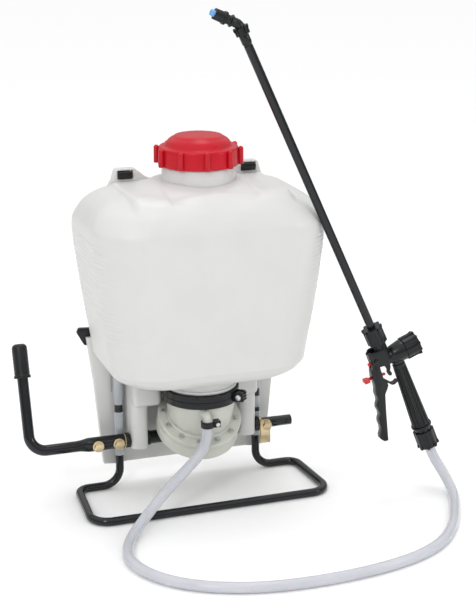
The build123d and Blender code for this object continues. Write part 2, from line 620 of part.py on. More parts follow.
BRACKET_T = 2.0
BRACKET_LOW = -29.0
with BuildPart() as shaft_bracket:
    disc(shaft_end, 10.2, 106.1, 106.1 + BRACKET_T)
    web = [(106.1, BRACKET_LOW), (106.1 + BRACKET_T, BRACKET_LOW), (106.1 + BRACKET_T, 8.5),
           (106.1, 8.5)]
    slab(web, shaft_front, 4, 10.2)
    plate = [(106.1, BRACKET_LOW), (121, BRACKET_LOW), (121, 6), (118, 8.5), (106.1, 8.5)]
    slab(plate, shaft_front, 8.2, 10.2)
    disc(shaft_end, SHAFT_R + 0.02, 100, 125, Mode.SUBTRACT)
    disc(shaft_front, 4, 0, 12, Mode.SUBTRACT, at=((BRACKET_X, 0),))
shaft_bracket.part.label = "shaft_bracket"
export_step(shaft_bracket.part, "parts/shaft_bracket.step")

with BuildPart() as bracket_bolt:
    disc(shaft_front, 3.9, -7.8, 10.3, at=((BRACKET_X, 0),))
    disc(shaft_front, 7.8, 10.2, 11.6, at=((BRACKET_X, 0),))
    hexagon(shaft_front, 7.0, 11.6, 16.6, at=((BRACKET_X, 0),))
bracket_bolt.part.label = "bracket_bolt"
export_step(bracket_bolt.part, "parts/bracket_bolt.step")

# ---------------------------------------------------------------- lance and nozzle
with BuildPart() as lance_tube:
    turn([(-9, 4.4), (-9, LANCE_R), (LANCE_LENGTH, LANCE_R), (LANCE_LENGTH, 4.4)], lance_plane)
lance_tube.part.label = "lance_tube"
export_step(lance_tube.part, "parts/lance_tube.step")

with BuildPart() as lance_ferrule:
    turn([(452.1, 4.4), (452.1, 5.6), (456, 6.9), (468, 6.9), (468, 4.4)], lance_plane)
lance_ferrule.part.label = "lance_ferrule"
export_step(lance_ferrule.part, "parts/lance_ferrule.step")

TIP_NUT = 468.1
TIP_NUT_LENGTH = 11.0
tip_nut_plane = Plane(origin=lance_plane.origin + lance_dir * TIP_NUT, x_dir=lance_dir,
                      z_dir=(0, -1, 0))
with BuildPart() as lance_tip_nut:
    castellated(tip_nut_plane, TIP_NUT_LENGTH, 10.3, 10)
    turn([(-1, 0), (-1, 4.4), (1, 4.4), (1, 6.6), (12, 6.6), (12, 0)], tip_nut_plane,
         Mode.SUBTRACT)
lance_tip_nut.part.label = "lance_tip_nut"
export_step(lance_tip_nut.part, "parts/lance_tip_nut.step")

ELBOW_END = 29.0
elbow_path = [
    lance_plane.origin + lance_dir * (TIP_NUT + 1.1), elbow_point,
    elbow_point + nozzle_dir * ELBOW_END,
]
with BuildPart() as nozzle_elbow:
    tube_along(elbow_path, [11], 6.5)
    turn([(10, 0), (10, 7.8), (11, 8.6), (12.4, 8.6), (13.4, 7.2), (13.4, 0)], nozzle_plane)
    turn([(19.6, 0), (19.6, 8.4), (20.4, 9.2), (22, 9.2), (22, 0)], nozzle_plane)
    tube_along(elbow_path, [11], 2.4, Mode.SUBTRACT)
nozzle_elbow.part.label = "nozzle_elbow"
export_step(nozzle_elbow.part, "parts/nozzle_elbow.step")

with BuildPart() as nozzle_cap:
    turn([(22.4, 6.9), (22.4, 9.0), (24, 9.0), (24.6, 7.9), (37.3, 7.6), (37.3, 4.6), (33.5, 4.6),
          (33.5, 6.9)], nozzle_plane)
    nozzle_end = Plane(origin=elbow_point, x_dir=(0, -1, 0), z_dir=nozzle_dir)
    ring_of(nozzle_end, 8.6, 8, 0, 1.3, 26, 38, Mode.SUBTRACT)
nozzle_cap.part.label = "nozzle_cap"
export_step(nozzle_cap.part, "parts/nozzle_cap.step")

with BuildPart() as nozzle_tip:
    turn([(30.5, 1.0), (30.5, 6.8), (33.4, 6.8), (33.4, 4.5), (42.6, 4.3), (42.6, 2.2),
          (40, 1.0)], nozzle_plane)
nozzle_tip.part.label = "nozzle_tip"
export_step(nozzle_tip.part, "parts/nozzle_tip.step")


# ---------------------------------------------------------------- valve handle
def on_grip(along, across):
    """Point in the handle's plane, down the grip and towards the side cap."""
    return grip_plane.origin + grip_plane.x_dir * along + grip_plane.y_dir * across


side_dir = grip_plane.y_dir
side_plane = Plane(origin=on_grip(-15, 0), x_dir=side_dir, z_dir=(0, -1, 0))
HANDLE_END = 112.0
EAR_IN = 8.4
EAR_OUT = 11.0
PIVOT = (-22.0, -33.5)
PIVOT_R = 2.0
CORE_R = 7.0
VALVE_PIN_U = -14.0
pin_plane = Plane(origin=on_grip(VALVE_PIN_U, 0), x_dir=side_dir, z_dir=(0, -1, 0))
with BuildPart() as handle_body:
    turn([(-62, 0), (-62, 10), (-10, 10), (-10, 0)], lance_plane)
    turn([(-20, 0), (-20, 10), (-8, 11), (-4, 13.5), (10, 15.5), (14, 15.5), (14.2, 13.5),
          (28, 13.5), (28, 0)], side_plane)
    turn([(-8, 0), (-8, 9), (0, 9), (0, CORE_R), (HANDLE_END + 8, CORE_R), (HANDLE_END + 8, 0)],
         grip_plane)
    for low, high in ((-EAR_OUT, -EAR_IN), (EAR_IN, EAR_OUT)):
        slab([(-36, -14), (-36, -33), (-31, -38.5), (-17, -38.5), (-12, -34), (-10, -22),
              (-10, -14)], grip_plane, low, high)
    slab([(-10, -20), (-10, -13), (-2, -14), (4, -17), (9, -15.5), (12, -17.5), (10.5, -21),
          (5, -22), (0, -20.5), (-4, -21.5)], grip_plane, 1, 5)
    disc(grip_plane, PIVOT_R + FIT, -12, 12, Mode.SUBTRACT, at=(PIVOT,))
    turn([(-32, 0), (-32, 2 + FIT), (-15.5, 2 + FIT), (-15.5, 0)], pin_plane, Mode.SUBTRACT)
    turn([(40, 0), (40, 4.4), (HANDLE_END + 9, 4.4), (HANDLE_END + 9, 0)], grip_plane,
         Mode.SUBTRACT)
handle_body.part.label = "handle_body"
export_step(handle_body.part, "parts/handle_body.step")

GRIP_RIBS = 12
with BuildPart() as hand_grip:
    turn([(1.5, CORE_R + 0.05), (1.5, 9.4), (HANDLE_END - 3, 13.4),
          (HANDLE_END - 3, CORE_R + 0.05)], grip_plane)
    for index in range(GRIP_RIBS):
        angle = 2 * pi * (index + 0.5) / GRIP_RIBS
        across = grip_plane.y_dir * cos(angle) + grip_plane.z_dir * sin(angle)
        groove_start = grip_plane.origin + across * 10.2
        groove_end = grip_plane.origin + grip_dir * (HANDLE_END - 4) + across * 14.2
        with BuildSketch(Plane(origin=groove_start, z_dir=groove_end - groove_start)) as groove:
            Circle(1.3)
        extrude(groove.sketch, amount=(groove_end - groove_start).length, mode=Mode.SUBTRACT)
hand_grip.part.label = "hand_grip"
export_step(hand_grip.part, "parts/hand_grip.step")

with BuildPart() as grip_collar:
    turn([(109.1, CORE_R + 0.05), (109.1, 15.3), (112.5, 15.3), (113, 13), (118.9, 13),
          (118.9, CORE_R + 0.05)], grip_plane)
grip_collar.part.label = "grip_collar"
export_step(grip_collar.part, "parts/grip_collar.step")

TOP_NUT = 27.0
top_nut_plane = Plane(origin=lance_plane.origin - lance_dir * TOP_NUT, x_dir=lance_dir,
                      z_dir=(0, -1, 0))
with BuildPart() as top_nut:
    castellated(top_nut_plane, TOP_NUT, 14.8, 8)
    turn([(-1, 0), (-1, 10.05), (TOP_NUT - 8.8, 10.05), (TOP_NUT - 8.8, LANCE_R + FIT),
          (TOP_NUT + 1, LANCE_R + FIT), (TOP_NUT + 1, 0)], top_nut_plane, Mode.SUBTRACT)
top_nut.part.label = "top_nut"
export_step(top_nut.part, "parts/top_nut.step")

LOWER_NUT = 119.0
LOWER_NUT_LENGTH = 28.0
lower_nut_plane = Plane(origin=on_grip(LOWER_NUT, 0), x_dir=grip_dir, z_dir=(0, -1, 0))
with BuildPart() as lower_nut:
    castellated(lower_nut_plane, LOWER_NUT_LENGTH, 16, 8)
    turn([(-1, 0), (-1, CORE_R + 0.05), (20, CORE_R + 0.05), (20, 0)], lower_nut_plane,
         Mode.SUBTRACT)
lower_nut.part.label = "lower_nut"
export_step(lower_nut.part, "parts/lower_nut.step")

side_cap_plane = Plane(origin=side_plane.origin + side_dir * 14.6, x_dir=side_dir,
                       z_dir=(0, -1, 0))
with BuildPart() as side_cap:
    castellated(side_cap_plane, 22.4, 17.6, 10)
    turn([(-1, 0), (-1, 14), (14.5, 14), (14.5, 0)], side_cap_plane, Mode.SUBTRACT)
side_cap.part.label = "side_cap"
export_step(side_cap.part, "parts/side_cap.step")

# Trigger, drawn from its pivot down to the finger end
trigger_outline = [
    (-31, -38), (-26, -40), (-18, -39.5), (-6, -44), (3, -46), (12, -45.8), (20, -46.6),
    (28, -49.6), (35, -49.4), (41, -50.6), (46, -54), (51, -55.4), (57, -54.4), (63, -55.4),
    (68, -58.8), (73, -60.2), (80, -60), (87, -61.6), (93, -65.6), (98, -66.8), (103, -63),
    (104, -57.4), (60, -45), (34, -37), (28, -31.5), (23, -27.6), (17, -27.8), (8, -31),
    (0, -30.4), (-8, -30.1), (-30, -29.6), (-33, -34),
]
LATCH_SLOPE = 9.3
latch_plane = Plane(
    origin=on_grip(2.6, -57.5),
    x_dir=grip_plane.y_dir * cos(radians(LATCH_SLOPE)) + grip_dir * sin(radians(LATCH_SLOPE)),
    z_dir=(0, -1, 0),
)
with BuildPart() as trigger:
    slab(trigger_outline, grip_plane, -7, 7)
    disc(grip_plane, PIVOT_R + FIT, -9, 9, Mode.SUBTRACT, at=(PIVOT,))
    slab([(-2, -2.0), (40, -2.0), (40, 2.0), (-2, 2.0)], latch_plane, -5, 0, Mode.SUBTRACT)
    slab([(-24, -52), (-24, -39), (-12, -39), (-12, -52)], grip_plane, -2.7, 2.7, Mode.SUBTRACT)
trigger.part.label = "trigger"
export_step(trigger.part, "parts/trigger.step")

with BuildPart() as trigger_pin:
    disc(grip_plane, PIVOT_R, -12.2, 12.2, at=(PIVOT,))
    disc(grip_plane, 3.4, -12.8, -11.1, at=(PIVOT,))
    disc(grip_plane, 3.4, 11.1, 12.8, at=(PIVOT,))
trigger_pin.part.label = "trigger_pin"
export_step(trigger_pin.part, "parts/trigger_pin.step")

with BuildPart() as trigger_latch:
    slab([(0, -1.6), (34, -1.6), (34, 1.6), (0, 1.6)], latch_plane, -4.6, -0.4)
    slab([(-1, -3), (7, -2.2), (7, 2.2), (-1, 2.6)], latch_plane, -6, 6)
trigger_latch.part.label = "trigger_latch"
export_step(trigger_latch.part, "parts/trigger_latch.step")

set_screw_plane = Plane(origin=on_grip(-17.9, 0), x_dir=side_dir, z_dir=(0, -1, 0))
with BuildPart() as trigger_set_screw:
    turn([(-44.2, 0), (-44.2, 2), (-43.4, 2.6), (-39.1, 2.6), (-39.1, 0)], set_screw_plane)
trigger_set_screw.part.label = "trigger_set_screw"
export_step(trigger_set_screw.part, "parts/trigger_set_screw.step")

with BuildPart() as trigger_spring:
    slab([(14.5, -27.4), (20, -27.2), (27, -21.4), (28.2, -17.2), (26, -11.2), (23, -11.0),
          (25, -17.0), (24, -20.2), (17, -25.6)], grip_plane, -4, 4)
trigger_spring.part.label = "trigger_spring"
export_step(trigger_spring.part, "parts/trigger_spring.step")

with BuildPart() as valve_pin:
    turn([(-29.3, 0), (-29.3, 2), (-18.2, 2), (-18.2, 0)], pin_plane)
valve_pin.part.label = "valve_pin"
export_step(valve_pin.part, "parts/valve_pin.step")


# ---------------------------------------------------------------- hose
def route_radii(points, share=0.45):
    """Largest tangent arc at each corner, from the shorter run and half the turn."""
    radii = []
    for before, here, after in zip(points, points[1:], points[2:]):
        run_in = Vector(*here) - Vector(*before)
        run_out = Vector(*after) - Vector(*here)
        half_turn = radians(run_in.get_angle(run_out)) / 2
        radii.append(share * min(run_in.length, run_out.length) / tan(half_turn))
    return radii


hose_radii = route_radii(HOSE_ROUTE)
with BuildPart() as hose:
    hose_length = tube_along(HOSE_ROUTE, hose_radii, HOSE_R)
hose.part.label = "hose"
export_step(hose.part, "parts/hose.step")
runs = [(Vector(*b) - Vector(*a)).length for a, b in zip(HOSE_ROUTE, HOSE_ROUTE[1:])]
print("hose runs", [round(run, 1) for run in runs])
print("hose radii", [round(radius, 1) for radius in hose_radii])
print("hose length", round(hose_length, 1), "volume ratio",
      round(hose.part.volume / (pi * HOSE_R**2 * hose_length), 4))

# ---------------------------------------------------------------- shoulder straps
STRAP_TOP = (LUG_X, 9.0, 480.0)
STRAP_END = (130.0, 9.0, 238.0)
strap_route = [(3, 0), (8, 14), (18, 32), (34, 72), (46, 105), (48, 140), (42, 185),
               (30, 222), (22.1, 245)]
STRAP_THICK = 1.8
STRAP_WIDE = 25.0
PAD_THICK = 11.0
PAD_WIDE = 42.0
pad_start = tuple(a + 0.7 * (b - a) for a, b in zip(strap_route[2], strap_route[3]))
pad_end = tuple(a + 0.5 * (b - a) for a, b in zip(strap_route[5], strap_route[6]))
pad_route = [pad_start, *strap_route[3:6], pad_end]
STRAP_BEND = 60.0  # largest bend radius, so the shorter pad fits the same bends
strap_radii = [min(radius, STRAP_BEND) for radius in route_radii([(a, b, 0) for a, b in strap_route])]


def strap_sweep(route, radii, plane, width, thick, inwards):
    """Sweep a flat section along a route drawn on a plane, moved towards the tank."""
    with BuildLine(plane) as path:
        FilletPolyline(*route, radius=radii)
    line = path.wire()
    start = line @ 0
    along = line % 0
    section_plane = Plane(origin=start, x_dir=plane.z_dir, z_dir=along)
    with BuildSketch(section_plane) as section:
        with Locations((0, inwards)):
            RectangleRounded(width, thick, 0.45 * thick)
    sweep(section.sketch, path=line)


for side, name in SIDES:
    top = Vector(side * STRAP_TOP[0], STRAP_TOP[1], STRAP_TOP[2])
    end = Vector(side * STRAP_END[0], STRAP_END[1], STRAP_END[2])
    down = (end - top).normalized()
    strap_plane = Plane(origin=top, x_dir=(0, 1, 0), z_dir=Vector(0, 1, 0).cross(down))
    with BuildPart() as strap_anchor:
        with BuildSketch(skirt_plane.offset(-9)) as anchor:
            with Locations((side * LUG_X, 479.8)):
                RectangleRounded(21, 10, 3)
        extrude(anchor.sketch, amount=22)
    strap_anchor.part.label = f"strap_anchor_{name}"
    export_step(strap_anchor.part, f"parts/strap_anchor_{name}.step")

    with BuildPart() as strap_webbing:
        strap_sweep(strap_route, strap_radii, strap_plane, STRAP_WIDE, STRAP_THICK, 0)
    strap_webbing.part.label = f"strap_webbing_{name}"
    export_step(strap_webbing.part, f"parts/strap_webbing_{name}.step")

    with BuildPart() as shoulder_pad:
        strap_sweep(pad_route, strap_radii[2:5], strap_plane, PAD_WIDE, PAD_THICK,
                    (PAD_THICK + STRAP_THICK) / 2 + 0.3)
    shoulder_pad.part.label = f"shoulder_pad_{name}"
    export_step(shoulder_pad.part, f"parts/shoulder_pad_{name}.step")

    with BuildPart() as strap_adjuster:
        block = [(side * x, z) for x, z in ((112, 226), (151, 222), (162, 242), (159, 249),
                                             (112, 246))]
        slab(block, skirt_plane, -30.1, -TANK_BACK - 0.1, rounding=4)
    strap_adjuster.part.label = f"strap_adjuster_{name}"
    export_step(strap_adjuster.part, f"parts/strap_adjuster_{name}.step")
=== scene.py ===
"""Looks of the backpack sprayer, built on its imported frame. Metres, +Z up."""

import json
from math import cos, hypot, pi, radians, sin, tau

import bmesh
import bpy
import numpy as np
from mathutils import Matrix, Vector

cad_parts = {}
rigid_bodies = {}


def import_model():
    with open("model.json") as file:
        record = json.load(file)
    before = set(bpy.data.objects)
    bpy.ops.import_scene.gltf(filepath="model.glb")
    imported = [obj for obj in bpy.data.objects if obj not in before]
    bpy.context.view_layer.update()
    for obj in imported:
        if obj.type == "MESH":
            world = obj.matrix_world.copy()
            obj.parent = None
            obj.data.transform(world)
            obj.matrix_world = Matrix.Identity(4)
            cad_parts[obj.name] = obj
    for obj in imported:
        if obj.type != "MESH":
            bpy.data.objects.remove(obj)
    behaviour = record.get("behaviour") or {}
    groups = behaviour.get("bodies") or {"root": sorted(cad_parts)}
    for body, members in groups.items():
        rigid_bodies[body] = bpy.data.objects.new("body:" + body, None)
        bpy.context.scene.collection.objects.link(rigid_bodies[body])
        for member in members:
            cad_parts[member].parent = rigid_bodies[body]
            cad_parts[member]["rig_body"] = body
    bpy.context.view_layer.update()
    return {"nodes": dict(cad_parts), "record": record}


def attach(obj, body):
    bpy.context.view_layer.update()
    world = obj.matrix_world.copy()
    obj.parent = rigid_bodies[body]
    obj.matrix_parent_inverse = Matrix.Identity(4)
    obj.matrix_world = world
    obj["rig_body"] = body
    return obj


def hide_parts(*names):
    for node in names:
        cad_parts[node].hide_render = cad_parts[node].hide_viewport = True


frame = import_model()
nodes = frame["nodes"]
slot_of = {part["node"]: part["material_slot"] for part in frame["record"]["subparts"]}
MM = 0.001
SIDES = ((-1, "left"), (1, "right"))
X_AXIS = Vector((1, 0, 0))
Y_AXIS = Vector((0, 1, 0))
Z_AXIS = Vector((0, 0, 1))
ORIGIN = Vector((0, 0, 0))
SHAFT_Y = -20
SHAFT_Z = 83


def mm(x, y, z):
    return Vector((x, y, z)) * MM


# ------------------------------------------------------------------ camera
CAMERA_AT = (-0.6451, -2.0593, 0.9285)
CAMERA_DOWN = 16.65
CAMERA_ASIDE = 19.39


def place_camera():
    data = bpy.data.cameras.new("camera")
    data.sensor_fit = "VERTICAL"
    data.sensor_height = 24.0
    data.lens = 61.05
    camera = bpy.data.objects.new("camera", data)
    camera.location = CAMERA_AT
    camera.rotation_euler = (radians(90 - CAMERA_DOWN), 0, radians(-CAMERA_ASIDE))
    bpy.context.scene.collection.objects.link(camera)
    bpy.context.scene.camera = camera


place_camera()


# ------------------------------------------------------------------ mesh helpers
def body_of(node):
    return nodes[node]["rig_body"]


def show(piece, node):
    """Give a new piece its material and let it stand for a CAD node."""
    slot = slot_of[node]
    piece.data.materials.clear()
    piece.data.materials.append(finishes[slot])
    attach(piece, body_of(node))
    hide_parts(node)
    return piece


def add_piece(name, data):
    piece = bpy.data.objects.new(name, data)
    bpy.context.scene.collection.objects.link(piece)
    return piece


def smooth(mesh, angle=32):
    for face in mesh.polygons:
        face.use_smooth = True
    mesh.set_sharp_from_angle(angle=radians(angle))


def scaled(profile):
    """Profile or outline points from millimetres to metres."""
    return [(a * MM, b * MM) for a, b in profile]


def mesh_piece(name, points, faces, angle=32):
    mesh = bpy.data.meshes.new(name)
    mesh.from_pydata([tuple(p) for p in points], [], faces)
    mesh.validate()
    smooth(mesh, angle)
    return add_piece(name, mesh)


def ring_faces(rings, steps, closed=False):
    """Four-sided faces between rings of points; closed joins the last ring to the first."""
    faces = []
    for i in range(rings if closed else rings - 1):
        low, high = i * steps, (i + 1) % rings * steps
        for j in range(steps):
            k = (j + 1) % steps
            faces.append((low + j, low + k, high + k, high + j))
    return faces


def round_edges(piece, width, segments=2):
    """Round a mesh's sharp edges and keep the result."""
    modifier = piece.modifiers.new("edges", "BEVEL")
    modifier.width = width
    modifier.segments = segments
    modifier.limit_method = "ANGLE"
    modifier.angle_limit = radians(32)
    modifier.harden_normals = False
    modifier.use_clamp_overlap = True
    keep_modifiers(piece)
    smooth(piece.data, 40)
    return piece


def keep_modifiers(piece):
    bpy.context.view_layer.update()
    evaluated = piece.evaluated_get(bpy.context.evaluated_depsgraph_get())
    mesh = bpy.data.meshes.new_from_object(evaluated)
    piece.modifiers.clear()
    piece.data = mesh


def join(name, pieces):
    """Join meshes into one piece."""
    merged = bmesh.new()
    for piece in pieces:
        piece.data.transform(piece.matrix_world)
        merged.from_mesh(piece.data)
        bpy.data.objects.remove(piece)
    mesh = bpy.data.meshes.new(name)
    merged.to_mesh(mesh)
    merged.free()
    smooth(mesh, 40)
    return add_piece(name, mesh)


def axes(along):
    """Two directions square to an axis."""
    along = Vector(along).normalized()
    first = Vector((0, 0, 1)) if abs(along.z) < 0.9 else Vector((1, 0, 0))
    across = first.cross(along).normalized()
    return along, across, along.cross(across)


def turned(name, profile, origin, along, steps=96, flute=None, closed=False):
    """Surface of revolution from (distance along, radius) points.

    flute changes the radius; closed joins the last point to the first, as for a ring.
    """
    along, across, other = axes(along)
    rows = []
    for distance, radius in profile:
        row = []
        for step in range(steps):
            angle = tau * step / steps
            r = radius if flute is None else flute(distance, radius, angle)
            row.append(origin + along * distance + (across * cos(angle) + other * sin(angle)) * r)
        rows.append(row)
    points = [p for row in rows for p in row]
    faces = ring_faces(len(rows), steps, closed)
    for i, order in ((0, -1), (len(rows) - 1, 1)):
        if profile[i][1] > 1e-6 and not closed:
            faces.append(tuple(i * steps + j for j in range(steps))[::order])
    return mesh_piece(name, points, faces)


def arc(centre, radius, start, end, steps):
    """(distance, radius) points on a circular arc of a turned profile, angles in degrees."""
    points = []
    for step in range(steps + 1):
        angle = radians(start + (end - start) * step / steps)
        points.append((centre[0] + radius * sin(angle), centre[1] + radius * cos(angle)))
    return points


def prism(name, outline, origin, u, v, low, high):
    """Extrude an outline given in (u, v) along their normal."""
    normal = Vector(u).cross(Vector(v)).normalized()
    count = len(outline)
    points = []
    for level in (low, high):
        points += [origin + Vector(u) * a + Vector(v) * b + normal * level for a, b in outline]
    faces = [tuple(range(count))[::-1], tuple(range(count, 2 * count))]
    for i in range(count):
        j = (i + 1) % count
        faces.append((i, j, count + j, count + i))
    return mesh_piece(name, points, faces)


def copy_of(node):
    """Tidied copy of a CAD node's mesh as a new piece."""
    bm = bmesh.new()
    bm.from_mesh(nodes[node].data)
    bmesh.ops.remove_doubles(bm, verts=bm.verts, dist=2e-6)
    bmesh.ops.dissolve_limit(
        bm, angle_limit=radians(0.6), verts=bm.verts, edges=bm.edges, use_dissolve_boundaries=False
    )
    mesh = bpy.data.meshes.new(node + "_soft")
    bm.to_mesh(mesh)
    bm.free()
    return add_piece(node + "_soft", mesh)


def softened(node, width):
    """Copy of a CAD node with rounded edges, which stands for the node."""
    return show(round_edges(copy_of(node), width), node)


def sweep_line(name, points, radii, steps=40):
    """Round tube through points, with its own radius at each point."""
    rows = []
    count = len(points)
    tangent = (points[1] - points[0]).normalized()
    _, across, other = axes(tangent)
    for i, point in enumerate(points):
        ahead = points[min(i + 1, count - 1)] - points[max(i - 1, 0)]
        ahead.normalize()
        across = (across - ahead * across.dot(ahead)).normalized()
        other = ahead.cross(across)
        rows.append([
            point + (across * cos(tau * k / steps) + other * sin(tau * k / steps)) * radii[i]
            for k in range(steps)
        ])
    verts = [p for row in rows for p in row]
    faces = ring_faces(count, steps)
    faces.append(tuple(range(steps))[::-1])
    faces.append(tuple((count - 1) * steps + j for j in range(steps)))
    return mesh_piece(name, verts, faces)


def bent_path(corners, radii, step=0.004):
    """Points along straight runs joined by tangent arcs."""
    points = [corners[0]]
    for before, here, after, radius in zip(corners, corners[1:], corners[2:], radii):
        a = (before - here).normalized()
        b = (after - here).normalized()
        half = a.angle(b) / 2
        reach = radius / np.tan(half)
        centre = here + (a + b).normalized() * (radius / sin(half))
        start = here + a * reach - centre
        turn = pi - 2 * half
        normal = start.cross(here + b * reach - centre).normalized()
        pieces = max(8, int(radius * turn / step))
        for i in range(pieces + 1):
            points.append(centre + Matrix.Rotation(turn * i / pieces, 3, normal) @ start)
    points.append(corners[-1])
    return points


# ------------------------------------------------------------------ materials
finishes = {}
GRAIN_SIZE = 0.0015


def surface(slot, colour, rough, metal=0.0, coat=0.0, scatter=0.0, grain=0.0,
            mottle=0.06, spread=0.05, shine=0.5):
    """Principled surface with slight unevenness of colour, roughness and relief."""
    material = bpy.data.materials.new(slot)
    finishes[slot] = material
    material.use_nodes = True
    tree = material.node_tree
    shader = tree.nodes["Principled BSDF"]
    shader.inputs["Metallic"].default_value = metal
    shader.inputs["Specular IOR Level"].default_value = shine
    shader.inputs["Coat Weight"].default_value = coat
    shader.inputs["Coat Roughness"].default_value = 0.08
    if scatter:
        shader.inputs["Subsurface Weight"].default_value = scatter
        shader.inputs["Subsurface Scale"].default_value = 0.006
        shader.inputs["Subsurface Radius"].default_value = (1.0, 0.95, 0.9)
    place = tree.nodes.new("ShaderNodeTexCoord")
    cloud = tree.nodes.new("ShaderNodeTexNoise")
    cloud.inputs["Scale"].default_value = 22.0
    cloud.inputs["Detail"].default_value = 4.0
    tree.links.new(place.outputs["Object"], cloud.inputs["Vector"])
    ramp = tree.nodes.new("ShaderNodeValToRGB")
    for element, share in zip(ramp.color_ramp.elements, (1 - mottle, 1 + mottle)):
        element.color = (*[min(1.0, c * share) for c in colour], 1)
    ramp.color_ramp.elements[0].position = 0.35
    ramp.color_ramp.elements[1].position = 0.65
    tree.links.new(cloud.outputs["Fac"], ramp.inputs["Fac"])
    tree.links.new(ramp.outputs["Color"], shader.inputs["Base Color"])
    polish = tree.nodes.new("ShaderNodeMapRange")
    polish.inputs["To Min"].default_value = max(0.02, rough - spread)
    polish.inputs["To Max"].default_value = rough + spread
    tree.links.new(cloud.outputs["Fac"], polish.inputs["Value"])
    tree.links.new(polish.outputs["Result"], shader.inputs["Roughness"])
    if grain:
        fine = tree.nodes.new("ShaderNodeTexNoise")
        fine.inputs["Scale"].default_value = 1 / GRAIN_SIZE
        fine.inputs["Detail"].default_value = 3.0
        tree.links.new(place.outputs["Object"], fine.inputs["Vector"])
        relief = tree.nodes.new("ShaderNodeBump")
        relief.inputs["Strength"].default_value = grain
        relief.inputs["Distance"].default_value = 0.0003
        tree.links.new(fine.outputs["Fac"], relief.inputs["Height"])
        tree.links.new(relief.outputs["Normal"], shader.inputs["Normal"])
    return material


surface("tank_white", (0.665, 0.665, 0.655), 0.38, scatter=0.3, mottle=0.012)
surface("lid_red", (0.52, 0.007, 0.018), 0.30, grain=0.03, mottle=0.04, shine=0.25)
surface("frame_black", (0.007, 0.008, 0.010), 0.13, mottle=0.12, shine=0.42)
surface("pump_natural", (0.60, 0.61, 0.55), 0.30, scatter=0.5, grain=0.05)
surface("black_plastic", (0.007, 0.008, 0.009), 0.26, grain=0.1, mottle=0.15, shine=0.34)
surface("grip_black", (0.010, 0.011, 0.012), 0.34, grain=0.15, mottle=0.15, shine=0.34)
surface("seal_rubber", (0.03, 0.03, 0.03), 0.6)
surface("steel", (0.62, 0.62, 0.63), 0.28, metal=1.0, mottle=0.08)
surface("yellow_zinc", (0.76, 0.62, 0.38), 0.30, metal=0.9, mottle=0.25, spread=0.1)
surface("sleeve_grey", (0.42, 0.45, 0.48), 0.16, coat=0.3, mottle=0.05)
surface("nozzle_blue", (0.16, 0.42, 0.80), 0.3)
surface("red_plastic", (0.62, 0.02, 0.02), 0.3)
surface("brass", (0.72, 0.55, 0.26), 0.3, metal=1.0)


def clear_hose():
    """Milky flexible tube: part of the light goes through it."""
    material = surface("hose_clear", (0.70, 0.71, 0.76), 0.22, coat=0.3, mottle=0.03)
    shader = material.node_tree.nodes["Principled BSDF"]
    shader.inputs["Transmission Weight"].default_value = 0.35
    shader.inputs["IOR"].default_value = 1.3
    shader.inputs["Subsurface Weight"].default_value = 0.3
    shader.inputs["Subsurface Scale"].default_value = 0.004


def cloth(slot, colour, pitch, strength):
    """Woven fabric: two crossed waves as relief, with sheen."""
    material = surface(slot, colour, 0.8, mottle=0.2)
    tree = material.node_tree
    shader = tree.nodes["Principled BSDF"]
    shader.inputs["Sheen Weight"].default_value = 0.25
    place = tree.nodes.new("ShaderNodeTexCoord")
    total = tree.nodes.new("ShaderNodeMath")
    total.operation = "ADD"
    for index, direction in enumerate(("X", "Z")):
        wave = tree.nodes.new("ShaderNodeTexWave")
        wave.bands_direction = direction
        wave.inputs["Scale"].default_value = 0.314 / pitch
        wave.inputs["Distortion"].default_value = 0.6
        tree.links.new(place.outputs["Object"], wave.inputs["Vector"])
        tree.links.new(wave.outputs["Fac"], total.inputs[index])
    relief = tree.nodes.new("ShaderNodeBump")
    relief.inputs["Strength"].default_value = strength
    relief.inputs["Distance"].default_value = 0.0006
    tree.links.new(total.outputs["Value"], relief.inputs["Height"])
    tree.links.new(relief.outputs["Normal"], shader.inputs["Normal"])


clear_hose()
cloth("webbing", (0.022, 0.022, 0.024), 0.0012, 0.6)
cloth("pad_fabric", (0.028, 0.028, 0.03), 0.0018, 0.5)

# painted shade: a darker copy of the tank's white for the back panel, pedestals and their heads, which
# hang in shade below the tank
tank_white_painted_shade = surface("tank_white_painted_shade", (0.38, 0.39, 0.38), 0.38, scatter=0.3, mottle=0.012)
for node, slot in slot_of.items():
    nodes[node].data.materials.clear()
    nodes[node].data.materials.append(finishes[slot])

# ------------------------------------------------------------------ hose
LANCE_Y = -151
HOSE_D = 0.015
HOSE_ROUTE = [
    mm(-10, -124, 140), mm(-10, -124, 118), mm(-18, -126.5, 96), mm(-38, -130, 77),
    mm(-65, -137, 58), mm(-92, -148, 38), mm(-120, -164, 18), mm(-142, -188, 9),
    mm(-158, -220, 7.5), mm(-165, -256, 7.5), mm(-155, -296, 7.5), mm(-126, -338, 7.5),
    mm(-76, -371, 7.5), mm(-12, -391, 7.5), mm(64, -396, 7.5), mm(140, -390, 7.5),
    mm(205, -374, 7.5), mm(257, -345, 7.5), mm(295, -302, 7.5), mm(322, -254, 7.5),
    mm(343, -212, 7.5), mm(350, -184, 12.5), mm(347, -162, 28), mm(336.4, LANCE_Y, 48.4),
    mm(328.4, LANCE_Y, 68.2),
]


def lay_hose():
    data = bpy.data.curves.new("spray_hose", "CURVE")
    data.dimensions = "3D"
    spline = data.splines.new("NURBS")
    spline.points.add(len(HOSE_ROUTE) - 1)
    for point, place in zip(spline.points, HOSE_ROUTE):
        point.co = (*place, 1)
    spline.order_u = 3
    spline.use_endpoint_u = True
    spline.resolution_u = 16
    data.bevel_depth = HOSE_D / 2
    data.bevel_resolution = 10
    data.use_fill_caps = True
    hose = show(add_piece("spray_hose", data), "hose")


lay_hose()

